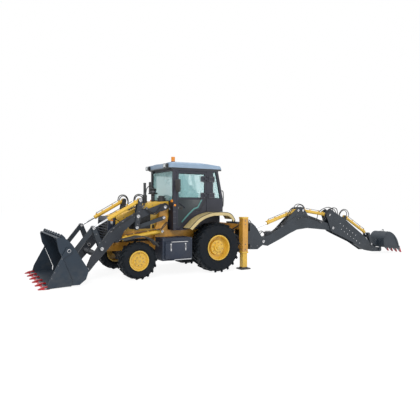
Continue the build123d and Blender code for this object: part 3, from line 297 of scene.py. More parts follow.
@dataclass(frozen=True)
class Paint:
    """Enamel on sheet metal: faint mottling, dust low down, orange peel, and lighter edges that are partly paint wear
    and partly painted highlight.
    """

    name: str
    colour: Colour
    roughness: float = 0.36
    shade: float = 0.14
    dust: float = 0.16
    dust_top: float = 1.1
    coat: float = 0.25
    # How strong the lighter edges are: they are partly paint wear and partly painted highlight.
    wear: float = 0.35
    # Colour of the lighter edges: paint wear and painted highlight.
    edge_wear_and_highlight_colour: Colour = (0.42, 0.40, 0.38)
    zones: tuple[Zone, ...] = ()

    def build(self) -> bpy.types.Material:
        """Builds the material.

        Returns:
            The new material.
        """
        g = Graph(self.name)
        mottle = g.noise(3.1, 4.0).over(0.3, 0.7)
        deep = tuple(c * (1.0 - self.shade) for c in self.colour)
        base = g.mix(mottle, self.colour, deep)
        metal: object = 0.0
        rough = self.roughness + mottle * 0.07
        for zone in self.zones:
            mask = g.inside(zone)
            base = g.mix(mask, base, zone.colour)
            metal = mask * zone.metallic + metal
            rough = rough * (1.0 - mask) + mask * zone.roughness
        low = 1.0 - g.along("Z").over(0.15, self.dust_top)
        speck = g.noise(46.0, 2.0).over(0.56, 0.78)
        grime = (low * g.noise(7.0, 5.0).over(0.32, 0.72) + speck * 0.1) * self.dust
        # Lighter colour along the edges: partly paint wear, partly painted highlight where light catches the edges.
        edge_wear_and_highlight = g.edges(0.004) * g.noise(17.0, 4.0).over(0.42, 0.62) * self.wear
        base = g.mix(grime, base, (0.19, 0.165, 0.13))
        g.feed("Base Color", g.mix(edge_wear_and_highlight, base, self.edge_wear_and_highlight_colour))
        g.feed("Roughness", rough + grime * 0.5 + edge_wear_and_highlight * 0.2)
        g.feed("Metallic", metal)
        g.feed("Coat Weight", self.coat)
        g.feed("Coat Roughness", 0.14)
        g.bump(g.noise(160.0, 2.0), 0.12, 0.0015)
        return g.material


@dataclass(frozen=True)
class Rubber:
    """Tyre rubber with moulded rings on the sidewall, ribs at the shoulder and dust in the hollows; lug tops and
    edges are lightened towards blue, partly as scuffing and partly as painted highlight.
    """

    name: str
    axle_x: float = 0.0
    radius: float = 0.654
    bead: float = 0.333
    colour: Colour = (0.0035, 0.0055, 0.0085)
    dusty: Colour = (0.010, 0.014, 0.019)

    def build(self) -> bpy.types.Material:
        """Builds the material.

        Returns:
            The new material.
        """
        g = Graph(self.name)
        x = g.along("X") - (REAR_AXLE_X + self.axle_x)
        z = g.along("Z") - self.radius
        out = (x * x + z * z).root()
        wall = out.over(self.bead, self.bead + 0.03) * (1.0 - out.over(self.radius - 0.10, self.radius - 0.07))
        rings = (out * (2.0 * math.pi / 0.034)).wave().over(0.55, 0.95)
        shoulder = out.over(self.radius - 0.12, self.radius - 0.10)
        shoulder = shoulder * (1.0 - out.over(self.radius - 0.05, self.radius - 0.04))
        ribs = (z.angle(x) * 84.0).wave().over(-0.2, 0.4)
        patch = g.noise(9.0, 5.0).over(0.35, 0.75)
        # Lug tops, lightened below: partly scuffing, partly painted highlight.
        scuff_and_highlight = out.over(self.radius - 0.006, self.radius - 0.001)
        base = g.mix(patch * 0.6, self.colour, self.dusty)
        # Lighter blue on lug tops and along edges: partly scuffing, partly painted highlight.
        g.feed("Base Color", g.mix(scuff_and_highlight * 0.4 + g.edges(0.006) * 0.35, base, (0.030, 0.040, 0.052)))
        g.feed("Roughness", 0.6 + patch * 0.25)
        g.feed("Specular IOR Level", 0.2)
        g.bump(rings * wall * 0.7 + ribs * shoulder * 0.5 + g.noise(90.0, 4.0) * 0.3, 0.6, 0.004)
        return g.material


@dataclass(frozen=True)
class Steel:
    """Bare or plated steel, from mirror-bright rods to machined pin ends."""

    name: str
    colour: Colour = (0.72, 0.72, 0.74)
    roughness: float = 0.16
    scratch: float = 0.10

    def build(self) -> bpy.types.Material:
        """Builds the material.

        Returns:
            The new material.
        """
        g = Graph(self.name)
        film = g.noise(22.0, 4.0).over(0.3, 0.8)
        g.feed("Base Color", g.mix(film * 0.4, self.colour, tuple(c * 0.72 for c in self.colour)))
        g.feed("Metallic", 1.0)
        g.feed("Roughness", self.roughness + film * self.scratch)
        g.bump(g.noise(240.0, 3.0), 0.06, 0.001)
        return g.material


@dataclass(frozen=True)
class Plastic:
    """Moulded black plastic or hose rubber with a fine grain and a dusty bloom."""

    name: str
    colour: Colour = (0.016, 0.018, 0.022)
    roughness: float = 0.5
    grain: float = 0.2
    bright: float = 1.8
    zones: tuple[Zone, ...] = ()

    def build(self) -> bpy.types.Material:
        """Builds the material.

        Returns:
            The new material.
        """
        g = Graph(self.name)
        bloom = g.noise(5.0, 4.0).over(0.35, 0.75)
        base = g.mix(bloom * 0.5, self.colour, tuple(min(1.0, c * self.bright + 0.003) for c in self.colour))
        rough = self.roughness + bloom * 0.12
        for zone in self.zones:
            mask = g.inside(zone)
            base = g.mix(mask, base, zone.colour)
            rough = rough * (1.0 - mask) + mask * zone.roughness
        g.feed("Base Color", base)
        g.feed("Roughness", rough)
        g.bump(g.noise(420.0, 2.0), self.grain, 0.0008)
        return g.material


@dataclass(frozen=True)
class Weave:
    """A wire mesh or slatted panel: fine bright wires over near-black cells, which are painted shade for the dark
    seen through the openings.
    """

    name: str
    colour: Colour = (0.05, 0.055, 0.062)
    cell: float = 0.012

    def build(self) -> bpy.types.Material:
        """Builds the material.

        Returns:
            The new material.
        """
        g = Graph(self.name)
        turn = 2.0 * math.pi / self.cell
        wires = (g.along("Y") * turn).wave().over(0.2, 0.7) + (g.along("Z") * turn).wave().over(0.2, 0.7)
        wires = wires + (g.along("X") * turn).wave().over(0.2, 0.7) * 0.5
        # The near-black cells are painted shade: they stand for the dark space seen through the mesh's openings.
        g.feed("Base Color", g.mix(wires * 0.5, (0.006, 0.007, 0.008), self.colour))
        g.feed("Roughness", 0.45)
        g.feed("Metallic", 0.2)
        g.bump(wires * 0.5 + g.noise(40.0) * 0.1, 0.5, 0.003)
        return g.material


@dataclass(frozen=True)
class Glass:
    """Cab glass: a thin tinted sheet that shows the inside, with a trace of haze."""

    name: str
    tint: Colour = (0.40, 0.72, 0.73)
    opacity: float = 0.34

    def build(self) -> bpy.types.Material:
        """Builds the material.

        Returns:
            The new material.
        """
        g = Graph(self.name)
        haze = g.noise(2.2, 3.0).over(0.3, 0.8)
        g.feed("Base Color", g.mix(haze * 0.1, self.tint, tuple(min(1.0, c * 1.15) for c in self.tint)))
        g.feed("Roughness", 0.03 + haze * 0.01)
        g.feed("Specular IOR Level", 0.7)
        g.feed("Alpha", self.opacity + haze * 0.05)
        g.material.surface_render_method = "BLENDED"
        return g.material


@dataclass(frozen=True)
class Cloth:
    """Woven seat cloth with a lighter thread."""

    name: str
    colour: Colour = (0.030, 0.033, 0.040)
    threads: float = 220.0

    def build(self) -> bpy.types.Material:
        """Builds the material.

        Returns:
            The new material.
        """
        g = Graph(self.name)
        turn = self.threads * 2.0 * math.pi
        across = (g.along("Y") * turn).wave().over(-0.6, 0.8)
        down = ((g.along("Z") + g.along("X")) * turn).wave().over(-0.6, 0.8)
        weave = across * down
        fade = g.noise(6.0, 3.0).over(0.3, 0.75)
        g.feed("Base Color", g.mix(weave * 0.7 + fade * 0.2, self.colour, tuple(c * 2.6 for c in self.colour)))
        g.feed("Roughness", 0.85 + fade * 0.1)
        g.feed("Sheen Weight", 0.3)
        g.bump(weave, 0.35, 0.0015)
        return g.material


GOLD = (0.76, 0.465, 0.045)
BRIGHT_PIN = (0.72, 0.73, 0.74)
CRIMSON = (0.55, 0.012, 0.035)
ORANGE = (0.80, 0.26, 0.010)
TAIL_RED = (0.42, 0.008, 0.012)
CLEAR_LENS = (0.62, 0.66, 0.68)
BUCKET_BLUE = (0.008, 0.020, 0.036)
HOE_BLUE = (0.018, 0.028, 0.040)
OPEN = (None, None, None)


class Finish(Enum):
    """The finishes of the machine, one for each material slot and more for nodes and trim."""

    YELLOW = Paint("yellow_enamel", GOLD)
    LEG = Paint("leg_enamel", GOLD, zones=(Zone(OPEN, (None, None, 71), (0.012, 0.014, 0.018), 0.0, 0.5),))
    CHASSIS = Paint("chassis_enamel", (0.62, 0.30, 0.035), dust=0.3, zones=(
        Zone((1300, 640, 1000), (1500, None, 1800), BRIGHT_PIN, 0.9, 0.3),
        Zone((1240, None, 1125), (2610, 470, None), GOLD),
    ))
    STRIPE = Paint("fender_enamel", (0.55, 0.43, 0.19), dust=0.1)
    DARK = Paint("dark_enamel", (0.016, 0.024, 0.034), roughness=0.5, coat=0.0, dust=0.06, shade=0.22, wear=0.2)
    ARM = Paint("arm_enamel", (0.014, 0.019, 0.028), roughness=0.5, coat=0.0, dust=0.06, wear=0.2, zones=(
        Zone((None, 677, None), OPEN, BRIGHT_PIN, 0.9, 0.3),
    ))
    CAB = Paint("cab_enamel", (0.010, 0.012, 0.024), roughness=0.5, coat=0.0, dust=0.04, wear=0.1, zones=(
        Zone((1100, 795, 2100), (None, None, 2440), (0.014, 0.015, 0.018), 0.0, 0.5),
    ))
    ROOF = Paint("roof_enamel", (0.25, 0.345, 0.46), roughness=0.46, coat=0.1, dust=0.0, zones=(
        # The roof's band from 2600 to 2738 mm is painted dark: painted shade on the roof's side and underside.
        Zone((None, None, 2600), (None, None, 2738), (0.025, 0.030, 0.038), 0.0, 0.5),
    ))
    BUCKET = Paint("bucket_enamel", BUCKET_BLUE, roughness=0.5, coat=0.0, dust=0.10, dust_top=0.6, wear=0.2)
    JAW = Paint("jaw_enamel", BUCKET_BLUE, roughness=0.5, coat=0.0, dust=0.10, dust_top=0.6, wear=0.2, zones=(
        Zone((4300, None, None), (4340, None, 45), (0.30, 0.30, 0.31), 0.6, 0.4),
        Zone((4340, None, None), OPEN, CRIMSON, 0.0, 0.35),
    ))
    HOE_BUCKET = Paint("hoe_bucket_enamel", HOE_BLUE, roughness=0.5, coat=0.0, dust=0.08, dust_top=0.6, zones=(
        Zone((-8166, None, None), (-8125, None, 240), (0.30, 0.30, 0.31), 0.6, 0.4),
        Zone(OPEN, (-8196, None, 220), CRIMSON, 0.0, 0.35),
    ))
    CASTING = Paint("casting_paint", (0.020, 0.022, 0.027), roughness=0.7, dust=0.25, coat=0.0)
    STACK = Paint("stack_paint", (0.035, 0.036, 0.040), roughness=0.6, dust=0.0, coat=0.0)
    SILVER = Paint("silver_paint", (0.50, 0.50, 0.51), roughness=0.42, dust=0.0, coat=0.1)
    TANK = Paint("tank_enamel", (0.006, 0.014, 0.034), roughness=0.5, coat=0.0, dust=0.08, wear=0.1)
    FRONT_TYRE = Rubber("front_tyre_rubber", 2.2, 0.450, 0.243)
    REAR_TYRE = Rubber("rear_tyre_rubber")
    CHROME = Steel("rod_chrome", (0.40, 0.41, 0.43), 0.22)
    PIN = Steel("pin_steel", BRIGHT_PIN, 0.3)
    BOLT = Steel("bolt_steel", (0.17, 0.17, 0.18), 0.42)
    BLACK = Plastic("black_plastic", (0.005, 0.007, 0.011), 0.6)
    PANE = Plastic("dark_pane", (0.004, 0.010, 0.013), 0.30)
    PANE_EDGE = Plastic("pane_edge", (0.05, 0.17, 0.16), 0.15)
    HOSE = Plastic("hose_rubber", (0.006, 0.007, 0.009), 0.5, 0.1)
    SEAL = Plastic("seal_rubber", (0.008, 0.009, 0.010), 0.6, 0.1)
    LAMP = Plastic("lamp_shell", (0.016, 0.018, 0.022), 0.4, 0.1, zones=(
        Zone((1358, None, 2600), OPEN, CLEAR_LENS, 0.0, 0.12),
        Zone((900, 200, 2880), (1100, 400, None), ORANGE, 0.0, 0.2, False),
        Zone((None, None, 1300), (-430, None, 1400), TAIL_RED, 0.0, 0.2),
        Zone((1170, None, 1800), (1230, None, 1950), ORANGE, 0.0, 0.2),
        Zone((None, None, 2700), (-340, None, 2850), CLEAR_LENS, 0.0, 0.12),
    ))
    CLEAR = Plastic("clear_lens", (0.60, 0.63, 0.64), 0.10, 0.0, 1.1)
    AMBER = Plastic("amber_lens", ORANGE, 0.15, 0.0, 1.1)
    RED = Plastic("red_lens", TAIL_RED, 0.15, 0.0, 1.1)
    MESH = Weave("grille_mesh")
    GLASS = Glass("cab_glass_sheet")
    SEAT = Cloth("seat_cloth")

    def material(self) -> bpy.types.Material:
        """The finish's material, built once."""
        found = bpy.data.materials.get(self.value.name)
        return found if found else self.value.build()


SLOT_FINISH = {
    "yellow_paint": Finish.YELLOW,
    "chassis_paint": Finish.CHASSIS,
    "stripe_paint": Finish.STRIPE,
    "dark_paint": Finish.DARK,
    "cab_paint": Finish.CAB,
    "roof_paint": Finish.ROOF,
    "black_plastic": Finish.BLACK,
    "tyre": Finish.REAR_TYRE,
    "rod_chrome": Finish.CHROME,
    "pin_steel": Finish.PIN,
    "bucket_steel": Finish.BUCKET,
    "casting": Finish.CASTING,
    "glass": Finish.GLASS,
    "seat": Finish.SEAT,
    "lamp_lens": Finish.LAMP,
    "exhaust_metal": Finish.STACK,
}
NODE_FINISH = {
    "tyre_front_left": Finish.FRONT_TYRE,
    "tyre_front_right": Finish.FRONT_TYRE,
    "side_tanks": Finish.TANK,
    "grille": Finish.TANK,
    "loader_arms": Finish.ARM,
    "rear_levers": Finish.ARM,
    "bucket_jaw": Finish.JAW,
    "stabilizer_left": Finish.LEG,
    "stabilizer_right": Finish.LEG,
    "hoe_bucket": Finish.HOE_BUCKET,
}


def spot(x: float, y: float, z: float) -> Vector:
    """A place given in millimetres from the rear axle, the middle plane and the ground.

    Args:
        x: the station ahead of the rear axle.
        y: the width to the left.
        z: the height.

    Returns:
        The place in metres in the machine's frame.
    """
    return Vector((REAR_AXLE_X + x / 1000, y / 1000, z / 1000))


def around(count: int, start: float = 0.0) -> list[Flat]:
    """Cosine and sine of evenly spaced angles.

    Args:
        count: how many angles there are.
        start: the first one's share of a step.

    Returns:
        The pairs in order.
    """
    angles = [2 * math.pi * (step + start) / count for step in range(count)]
    return [(math.cos(angle), math.sin(angle)) for angle in angles]


def rounded(points: Sequence[Vector]) -> list[Vector]:
    """A smooth line through points.

    Args:
        points: the points that it passes.

    Returns:
        The points of the smooth line.
    """
    last = len(points) - 1
    line = []
    for i in range(last):
        a, b, c, d = (points[min(max(i + k, 0), last)] for k in (-1, 0, 1, 2))
        for t in (step / SMOOTH_STEPS for step in range(SMOOTH_STEPS)):
            line.append(
                0.5 * (2 * b + (c - a) * t + (2 * a - 5 * b + 4 * c - d) * t * t + (3 * b - a - 3 * c + d) * t ** 3)
            )
    return line + [points[-1]]


@dataclass
class Piece:
    """One trim piece, its shapes gathered in one mesh, each in its own finish."""

    name: str
    body: str
    mesh: bmesh.types.BMesh = field(default_factory=bmesh.new)
    finishes: list[Finish] = field(default_factory=list)

    def _dress(self, faces: Iterable[bmesh.types.BMFace], finish: Finish) -> None:
        """Gives new faces their finish."""
        if finish not in self.finishes:
            self.finishes.append(finish)
        for face in faces:
            face.material_index = self.finishes.index(finish)
            face.smooth = True

    def loft(self, rings: list[list[Vector]], finish: Finish, closed: bool = False) -> None:
        """Joins rings of points with a skin.

        Args:
            rings: rings with the same number of points.
            finish: the skin's finish.
            closed: whether the last ring joins the first, else both ends are filled.
        """
        rows = [[self.mesh.verts.new(point) for point in ring] for ring in rings]
        faces = []
        count = len(rows[0])
        pairs = list(zip(rows, rows[1:])) + ([(rows[-1], rows[0])] if closed else [])
        for low, high in pairs:
            for i in range(count):
                j = (i + 1) % count
                faces.append(self.mesh.faces.new((low[i], low[j], high[j], high[i])))
        if not closed:
            faces.append(self.mesh.faces.new(reversed(rows[0])))
            faces.append(self.mesh.faces.new(rows[-1]))
        self._dress(faces, finish)

    def lathe(self, base: Vector, axis: Vector, profile: Sequence[Flat], finish: Finish,
              sides: int = 20, hollow: bool = False) -> None:
        """Turns a profile round an axis.

        Args:
            base: where the axis starts.
            axis: its direction.
            profile: (place along the axis, radius) pairs in millimetres.
            finish: the shape's finish.
            sides: facets round the axis.
            hollow: whether it is a ring whose last edge joins the first.
        """
        turn = axis.normalized().to_track_quat("Z", "Y")
        rings = [[base + turn @ (Vector((c * radius, s * radius, along)) / 1000) for c, s in around(sides, 0.5)]
                 for along, radius in profile]
        self.loft(rings, finish, closed=hollow)

    def box(self, low: Sequence[float], high: Sequence[float], finish: Finish, bevel: float = 3.0,
            pitch: float = 0.0) -> None:
        """A box with rounded edges between two corners.

        Args:
            low: one corner in millimetres from the rear axle.
            high: the other corner.
            finish: the box's finish.
            bevel: the edges' radius in millimetres.
            pitch: degrees that its front is turned up about its middle.
        """
        a, b = spot(*low), spot(*high)
        middle, half = (a + b) / 2, (b - a) / 2
        turn = Matrix.Rotation(math.radians(-pitch), 3, "Y")
        arms = [turn @ Vector((half.x, 0, 0)), Vector((0, half.y, 0)), turn @ Vector((0, 0, half.z))]
        self.solid(middle, arms, finish, bevel)

    def solid(self, middle: Vector, arms: Sequence[Vector], finish: Finish, bevel: float = 3.0) -> None:
        """A block spanned by three arms from its middle, with rounded edges.

        Args:
            middle: its middle.
            arms: three vectors from the middle to the middles of its faces.
            finish: the block's finish.
            bevel: the edges' radius in millimetres.
        """
        x, y, z = arms
        rings = [[middle + sx * x + sy * y + sz * z for sx, sy in ((-1, -1), (1, -1), (1, 1), (-1, 1))]
                 for sz in (-1, 1)]
        before = set(self.mesh.faces)
        self.loft(rings, finish)
        self._round(before, bevel, finish)

    def _round(self, before: set[bmesh.types.BMFace], bevel: float, finish: Finish) -> None:
        """Rounds the edges of the faces made since a moment."""
        if bevel <= 0:
            return
        fresh = [face for face in self.mesh.faces if face not in before]
        edges = list({edge for face in fresh for edge in face.edges})
        made = bmesh.ops.bevel(self.mesh, geom=edges, offset=bevel / 1000, segments=2, profile=0.5, affect="EDGES")
        self._dress(made["faces"], finish)

    def slab(self, outline: Sequence[Flat], y: float, thick: float, finish: Finish,
             bevel: float = 1.5) -> None:
        """A plate cut to a side-view outline.

        Args:
            outline: its corners as station and height in millimetres.
            y: the width at its middle.
            thick: its thickness in millimetres.
            finish: the plate's finish.
            bevel: the edges' radius in millimetres.
        """
        rings = [[spot(x, y + side * thick / 2, z) for x, z in outline] for side in (-1, 1)]
        before = set(self.mesh.faces)
        self.loft(rings, finish)
        self._round(before, bevel, finish)

    def tube(self, points: Sequence[Vector], radius: float, finish: Finish, sides: int = 8, closed: bool = False,
             soft: bool = True) -> None:
        """A round bar or hose along a line.

        Args:
            points: the points that it passes.
            radius: its radius in millimetres.
            finish: its finish.
            sides: facets round it.
            closed: whether it comes back to its start.
            soft: whether the line, an open one, is smoothed between the points.
        """
        line = rounded(points) if soft else list(points)
        count = len(line)
        rings = []
        side = None
        for i, point in enumerate(line):
            ahead = line[(i + 1) % count] if closed or i + 1 < count else point
            behind = line[i - 1] if closed or i > 0 else point
            run = (ahead - behind).normalized()
            if side is None:
                side = run.orthogonal().normalized()
            side = (side - run * side.dot(run)).normalized()
            other = run.cross(side)
            rings.append([point + (side * c + other * s) * radius / 1000 for c, s in around(sides)])
        if closed:
            first, last = rings[0], rings[-1]
            shift = min(range(sides), key=lambda k: (first[k] - last[0]).length)
            if shift:
                rings = [ring[-shift:] + ring[:-shift] if ring is not first else ring for ring in rings]
        self.loft(rings, finish, closed=closed)

    def bead(self, line: Sequence[Flat], y: float, radius: float, finish: Finish, sides: int = 6,
             soft: bool = False) -> None:
        """A tube along stations and heights that keeps to one width."""
        self.tube([spot(x, y, z) for x, z in line], radius, finish, sides, soft=soft)

    def studs(self, places: Iterable[Flat], y: float, out: int, width: float, height: float) -> None:
        """Bolts at stations and heights on the flank that looks left, or right with out at -1."""
        for x, z in places:
            self.bolt(spot(x, y, z), LEFT * out, width, height=height)

    def bolt(self, at: Vector, axis: Vector, width: float = 24.0, finish: Finish = Finish.BOLT,
             height: float = 12.0) -> None:
        """A hexagon head on its washer.

        Args:
            at: where the washer's underside sits.
            axis: the way out of the surface.
            width: the head's width over its corners in millimetres.
            finish: its finish.
            height: the head's height in millimetres.
        """
        self.lathe(at, axis, ((-1.0, width * 0.72), (2.5, width * 0.72), (3.0, width * 0.66)), finish, 16)
        self.lathe(at, axis, ((2.0, width / 2), (height, width / 2), (height + 1.5, width * 0.42)), finish, 6)

    def cap(self, at: Vector, axis: Vector, radius: float) -> None:
        """A pin's end: a chamfered disc with a grease nipple and two keeper bolts.

        Args:
            at: the middle of the pin's end face.
            axis: the way out of the pin.
            radius: the disc's radius in millimetres.
        """
        disc = ((-2, radius), (4, radius), (7, radius - 4), (7.5, radius * 0.4), (6, radius * 0.32))
        self.lathe(at, axis, disc, Finish.PIN, 28)
        self.lathe(at, axis, ((5, 5), (11, 4), (12, 6), (15, 5), (17, 2)), Finish.BOLT, 10)
        side = axis.orthogonal().normalized() * radius * 0.62 / 1000
        for way in (1, -1):
            self.bolt(at + way * side + axis.normalized() * 0.0065, axis, 15, Finish.BOLT, 7)

    def hose(self, points: Sequence[Vector], radius: float) -> None:
        """A hydraulic hose with a steel ferrule and nut at each end.

        Args:
            points: the points that it passes.
            radius: its radius in millimetres.
        """
        self.tube(points, radius, Finish.HOSE, 10)
        for end, after in ((points[0], points[1]), (points[-1], points[-2])):
            run = after - end
            fitting = ((-12, radius * 0.8), (0, radius * 0.8), (0.5, radius * 1.45), (14, radius * 1.45),
                       (15, radius * 1.2), (44, radius * 1.2), (46, radius * 1.02))
            self.lathe(end, run, fitting, Finish.BOLT, 12)

    def done(self, across: tuple[str, Vector, Vector] | None = None) -> bpy.types.Object:
        """Turns the gathered mesh into a piece of the machine.

        Args:
            across: a second body with where a bend starts and ends; when it is given, the piece is only baked in
                place and hung on no body, and nothing is bent.

        Returns:
            The new object.
        """
        bmesh.ops.recalc_face_normals(self.mesh, faces=self.mesh.faces[:])
        for edge in self.mesh.edges:
            if len(edge.link_faces) == 2 and edge.calc_face_angle(0.0) > math.radians(32):
                edge.smooth = False
        made = bpy.data.meshes.new(self.name)
        self.mesh.to_mesh(made)
        self.mesh.free()
        for finish in self.finishes:
            made.materials.append(finish.material())
        piece = bpy.data.objects.new(self.name, made)
        bpy.context.scene.collection.objects.link(piece)
        if across:
            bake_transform(piece)
        else:
            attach(piece, self.body)
        LOG.info("built %s on %s, %d faces", self.name, self.body, len(made.polygons))
        return piece


@dataclass
class Solids:
    """The CAD nodes in their finishes."""

    def dress(self) -> None:
        """Gives every CAD node its finish."""
        for entry in frame["record"]["subparts"]:
            name = entry["node"]
            finish = NODE_FINISH.get(name, SLOT_FINISH[entry["material_slot"]])
            node = frame["nodes"][name]
            node.data.materials.clear()
            node.data.materials.append(finish.material())
            LOG.info("dressed %s", name)


@dataclass
class WheelTrim:
    """Nuts, studs, hub caps and valves on the four rims."""

    front_hub: tuple[float, ...] = (900, 450, 111.3, 108, 141.2, 38, 168, 88)
    rear_hub: tuple[float, ...] = (850, 654, 132.0, 148, 210.0, 53, 240, 68)
    nuts: int = 8

    def one(self, corner: str, x: float, out: int, hub: tuple[float, ...]) -> None:
        """Trims one wheel.

        Args:
            corner: the wheel's name.
            x: its station.
            out: 1 on the left, -1 on the right.
            hub: width, height, face, nut circle, cap face, cap radius, valve circle and floor, in millimetres.
        """
        y, z, face, circle, cap, cap_r, valve_r, floor = hub
        piece = Piece(f"nuts_{corner}", f"wheel_{corner}")
        axis = LEFT * out
        for c, s in around(self.nuts, 0.25):
            at = spot(x + circle * c, out * (y + face - 0.5), z + circle * s)
            piece.bolt(at, axis, 30, Finish.YELLOW, 17)
            piece.lathe(at, axis, ((10, 9), (24, 9), (26, 7)), Finish.BOLT, 10)
        piece.lathe(spot(x, out * (y + cap - 0.5), z), axis, ((0, cap_r * 0.8), (5, cap_r * 0.8), (8, cap_r * 0.62)),
                    Finish.YELLOW, 28)
        for bolt in range(3):
            angle = 2 * math.pi * bolt / 3 + 0.4
            at = spot(x + cap_r * 0.45 * math.cos(angle), out * (y + cap + 5), z + cap_r * 0.45 * math.sin(angle))
            piece.bolt(at, axis, 12, Finish.BOLT, 5)
        ring = circle * 1.66 if valve_r > 200 else circle * 1.62
        for c, s in around(12, 0.5):
            piece.bolt(spot(x + ring * c, out * (y + floor - 2), z + ring * s), axis, 18, Finish.YELLOW, 8)
        valve = spot(x, out * (y + floor - 4), z + valve_r)
        piece.lathe(valve, axis + UP * 0.25, ((0, 7), (22, 7), (24, 4.5), (46, 4.5), (47, 6), (60, 6), (62, 3)),
                    Finish.BOLT, 10)
        piece.done()

    def build(self) -> None:
        """Trims all four wheels."""
        for side, out in SIDES:
            self.one(f"front_{side}", 2200, out, self.front_hub)
            self.one(f"rear_{side}", 0, out, self.rear_hub)


@dataclass
class PinTrim:
    """Bright ends with bolts and grease nipples on every pin."""

    loader: tuple[tuple[str, str, float, float, float, float], ...] = (
        ("lever_pins", "loader_arms", 2092, 1494, 681, 42),
        ("guide_pins", "loader_arms", 2991, 741, 681, 42),
        ("lever_top_pins", "rear_levers", 2035, 1888, 681, 40),
        ("lever_foot_pins", "rear_levers", 2122, 1216, 681, 38),
        ("tilt_eye_pins", "link_pins", 3180, 1238, 681, 38),
        ("bucket_pin_ends", "bucket_pins", 3346, 279, 681, 46),
        ("arm_pivots", "chassis", 1355, 1728, 653, 44),
        ("lift_base_pins", "chassis", 1440, 1105, 653, 36),
        ("level_pins", "chassis", 1385, 1450, 628, 36),
    )
    hoe: tuple[tuple[str, str, float, float, float, float], ...] = (
        ("boom_foot_pin", "kingpost", -1936, 681, 160, 44),
        ("boom_ram_eye_pin", "kingpost", -1616, 1045, 75, 32),
        ("apex_pin", "boom", -3360, 1600, 100, 40),
        ("apex_rear_pin", "boom", -3560, 1600, 100, 40),
        ("dipper_pin", "dipper", -4880, 1000, 133, 46),
        ("dipper_eye_pin", "dipper", -4720, 1440, 133, 36),
        ("guide_foot_pin", "dipper_extension", -6830, 370, 123, 36),
        ("hoe_bucket_pin_end", "hoe_bucket", -7300, 150, 126, 42),
    )

    def build(self) -> None:
        """Caps the pins of both linkages."""
        for middle, pins in ((0, self.loader), (HOE_Y, self.hoe)):
            for name, body, x, z, half, radius in pins:
                piece = Piece(name, body)
                for out in (1, -1):
                    piece.cap(spot(x, middle + out * half, z), LEFT * out, radius)
                piece.done()


@dataclass
class RamTrim:
    """Head glands, ports, hard tubes and clamps along the hydraulic rams."""

    loader: tuple[tuple[str, Flat, Flat, float, float, float], ...] = (
        ("lift", (1440, 1105), (2623, 925), 1050, 50, 26),
        ("tilt", (2035, 1888), (3180, 1238), 915, 46, 26),
    )
    hoe: tuple[tuple[str, Flat, Flat, float, float, float], ...] = (
        ("boom", (-3360, 1600), (-1616, 1045), 1250, 55, 32),
        ("dipper", (-3560, 1600), (-4720, 1440), 1050, 52, 30),
        ("hoe_bucket", (-5556, 1370), (-6700, 740), 1180, 48, 28),
    )

    def one(self, piece: Piece, y: float, base: Flat, eye: Flat, length: float,
            radius: float, rod: float) -> None:
        """Trims one barrel.

        Args:
            piece: the piece that takes the shapes.
            y: the ram's width.
            base: its base eye.
            eye: its rod's eye.
            length: the barrel's length.
            radius: the barrel's radius.
            rod: the rod's radius.
        """
        start, end = spot(base[0], y, base[1]), spot(eye[0], y, eye[1])
        run = (end - start).normalized()
        over = LEFT.cross(run)
        over = over if over.z > 0 else -over
        head = start + run * length / 1000
        gland = ((-64, radius + 0.4), (-62, radius + 7), (-6, radius + 7), (-2, radius + 3), (-1, rod + 8),
                 (7, rod + 8), (9, rod + 3))
        piece.lathe(head, run, gland, Finish.YELLOW, 26, True)
        piece.lathe(start, run, ((84, radius + 0.4), (86, radius + 5), (104, radius + 5), (106, radius + 0.4)),
                    Finish.YELLOW, 26, True)
        ports = [start + run * at / 1000 + over * (radius - 2) / 1000 for at in (126, length - 92)]
        for port in ports:
            piece.solid(port + over * 0.012, [run * 0.024, LEFT * 0.020, over * 0.016], Finish.YELLOW, 3)
        tube = [ports[1] + over * 0.028, ports[1] + over * 0.046 - run * 0.02, ports[1] + over * 0.036 - run * 0.08]
        tube += [ports[0] + over * 0.036 + run * 0.16, ports[0] + over * 0.036 + run * 0.06]
        tube = [point + LEFT * 0.014 for point in tube]
        piece.tube(tube, 7.5, Finish.STACK, 8)
        span = (ports[0] - ports[1]).length
        for share in (0.3, 0.75):
            at = ports[0] + run * span * share
            piece.solid(at + over * 0.020 + LEFT * 0.014, [run * 0.010, LEFT * 0.016, over * 0.024], Finish.YELLOW, 2)
            piece.bolt(at + over * 0.043 + LEFT * 0.014, over, 12, Finish.BOLT, 6)
            band = ((0, radius + 0.3), (0.5, radius + 2.5), (16, radius + 2.5), (16.5, radius + 0.3))
            piece.lathe(at - run * 0.008 - over * (radius - 2) / 1000, run, band, Finish.YELLOW, 26, True)

    def build(self) -> None:
        """Trims every ram."""
        for name, *sizes in self.loader:
            piece = Piece(f"{name}_ram_trim", f"{name}_barrels")
            for out in (1, -1):
                self.one(piece, out * 605, *sizes)
            piece.done()
        for name, *sizes in self.hoe:
            piece = Piece(f"{name}_ram_trim", f"{name}_barrel")
            self.one(piece, 300, *sizes)
            piece.done()


@dataclass(frozen=True)
class Run:
    """One hose: its name, its bodies, its points in millimetres and its radius."""

    name: str
    body: str
    points: tuple[Point, ...]
    radius: float = 12.0
    other: str | None = None
    bend: tuple[int, int] = (2, 4)


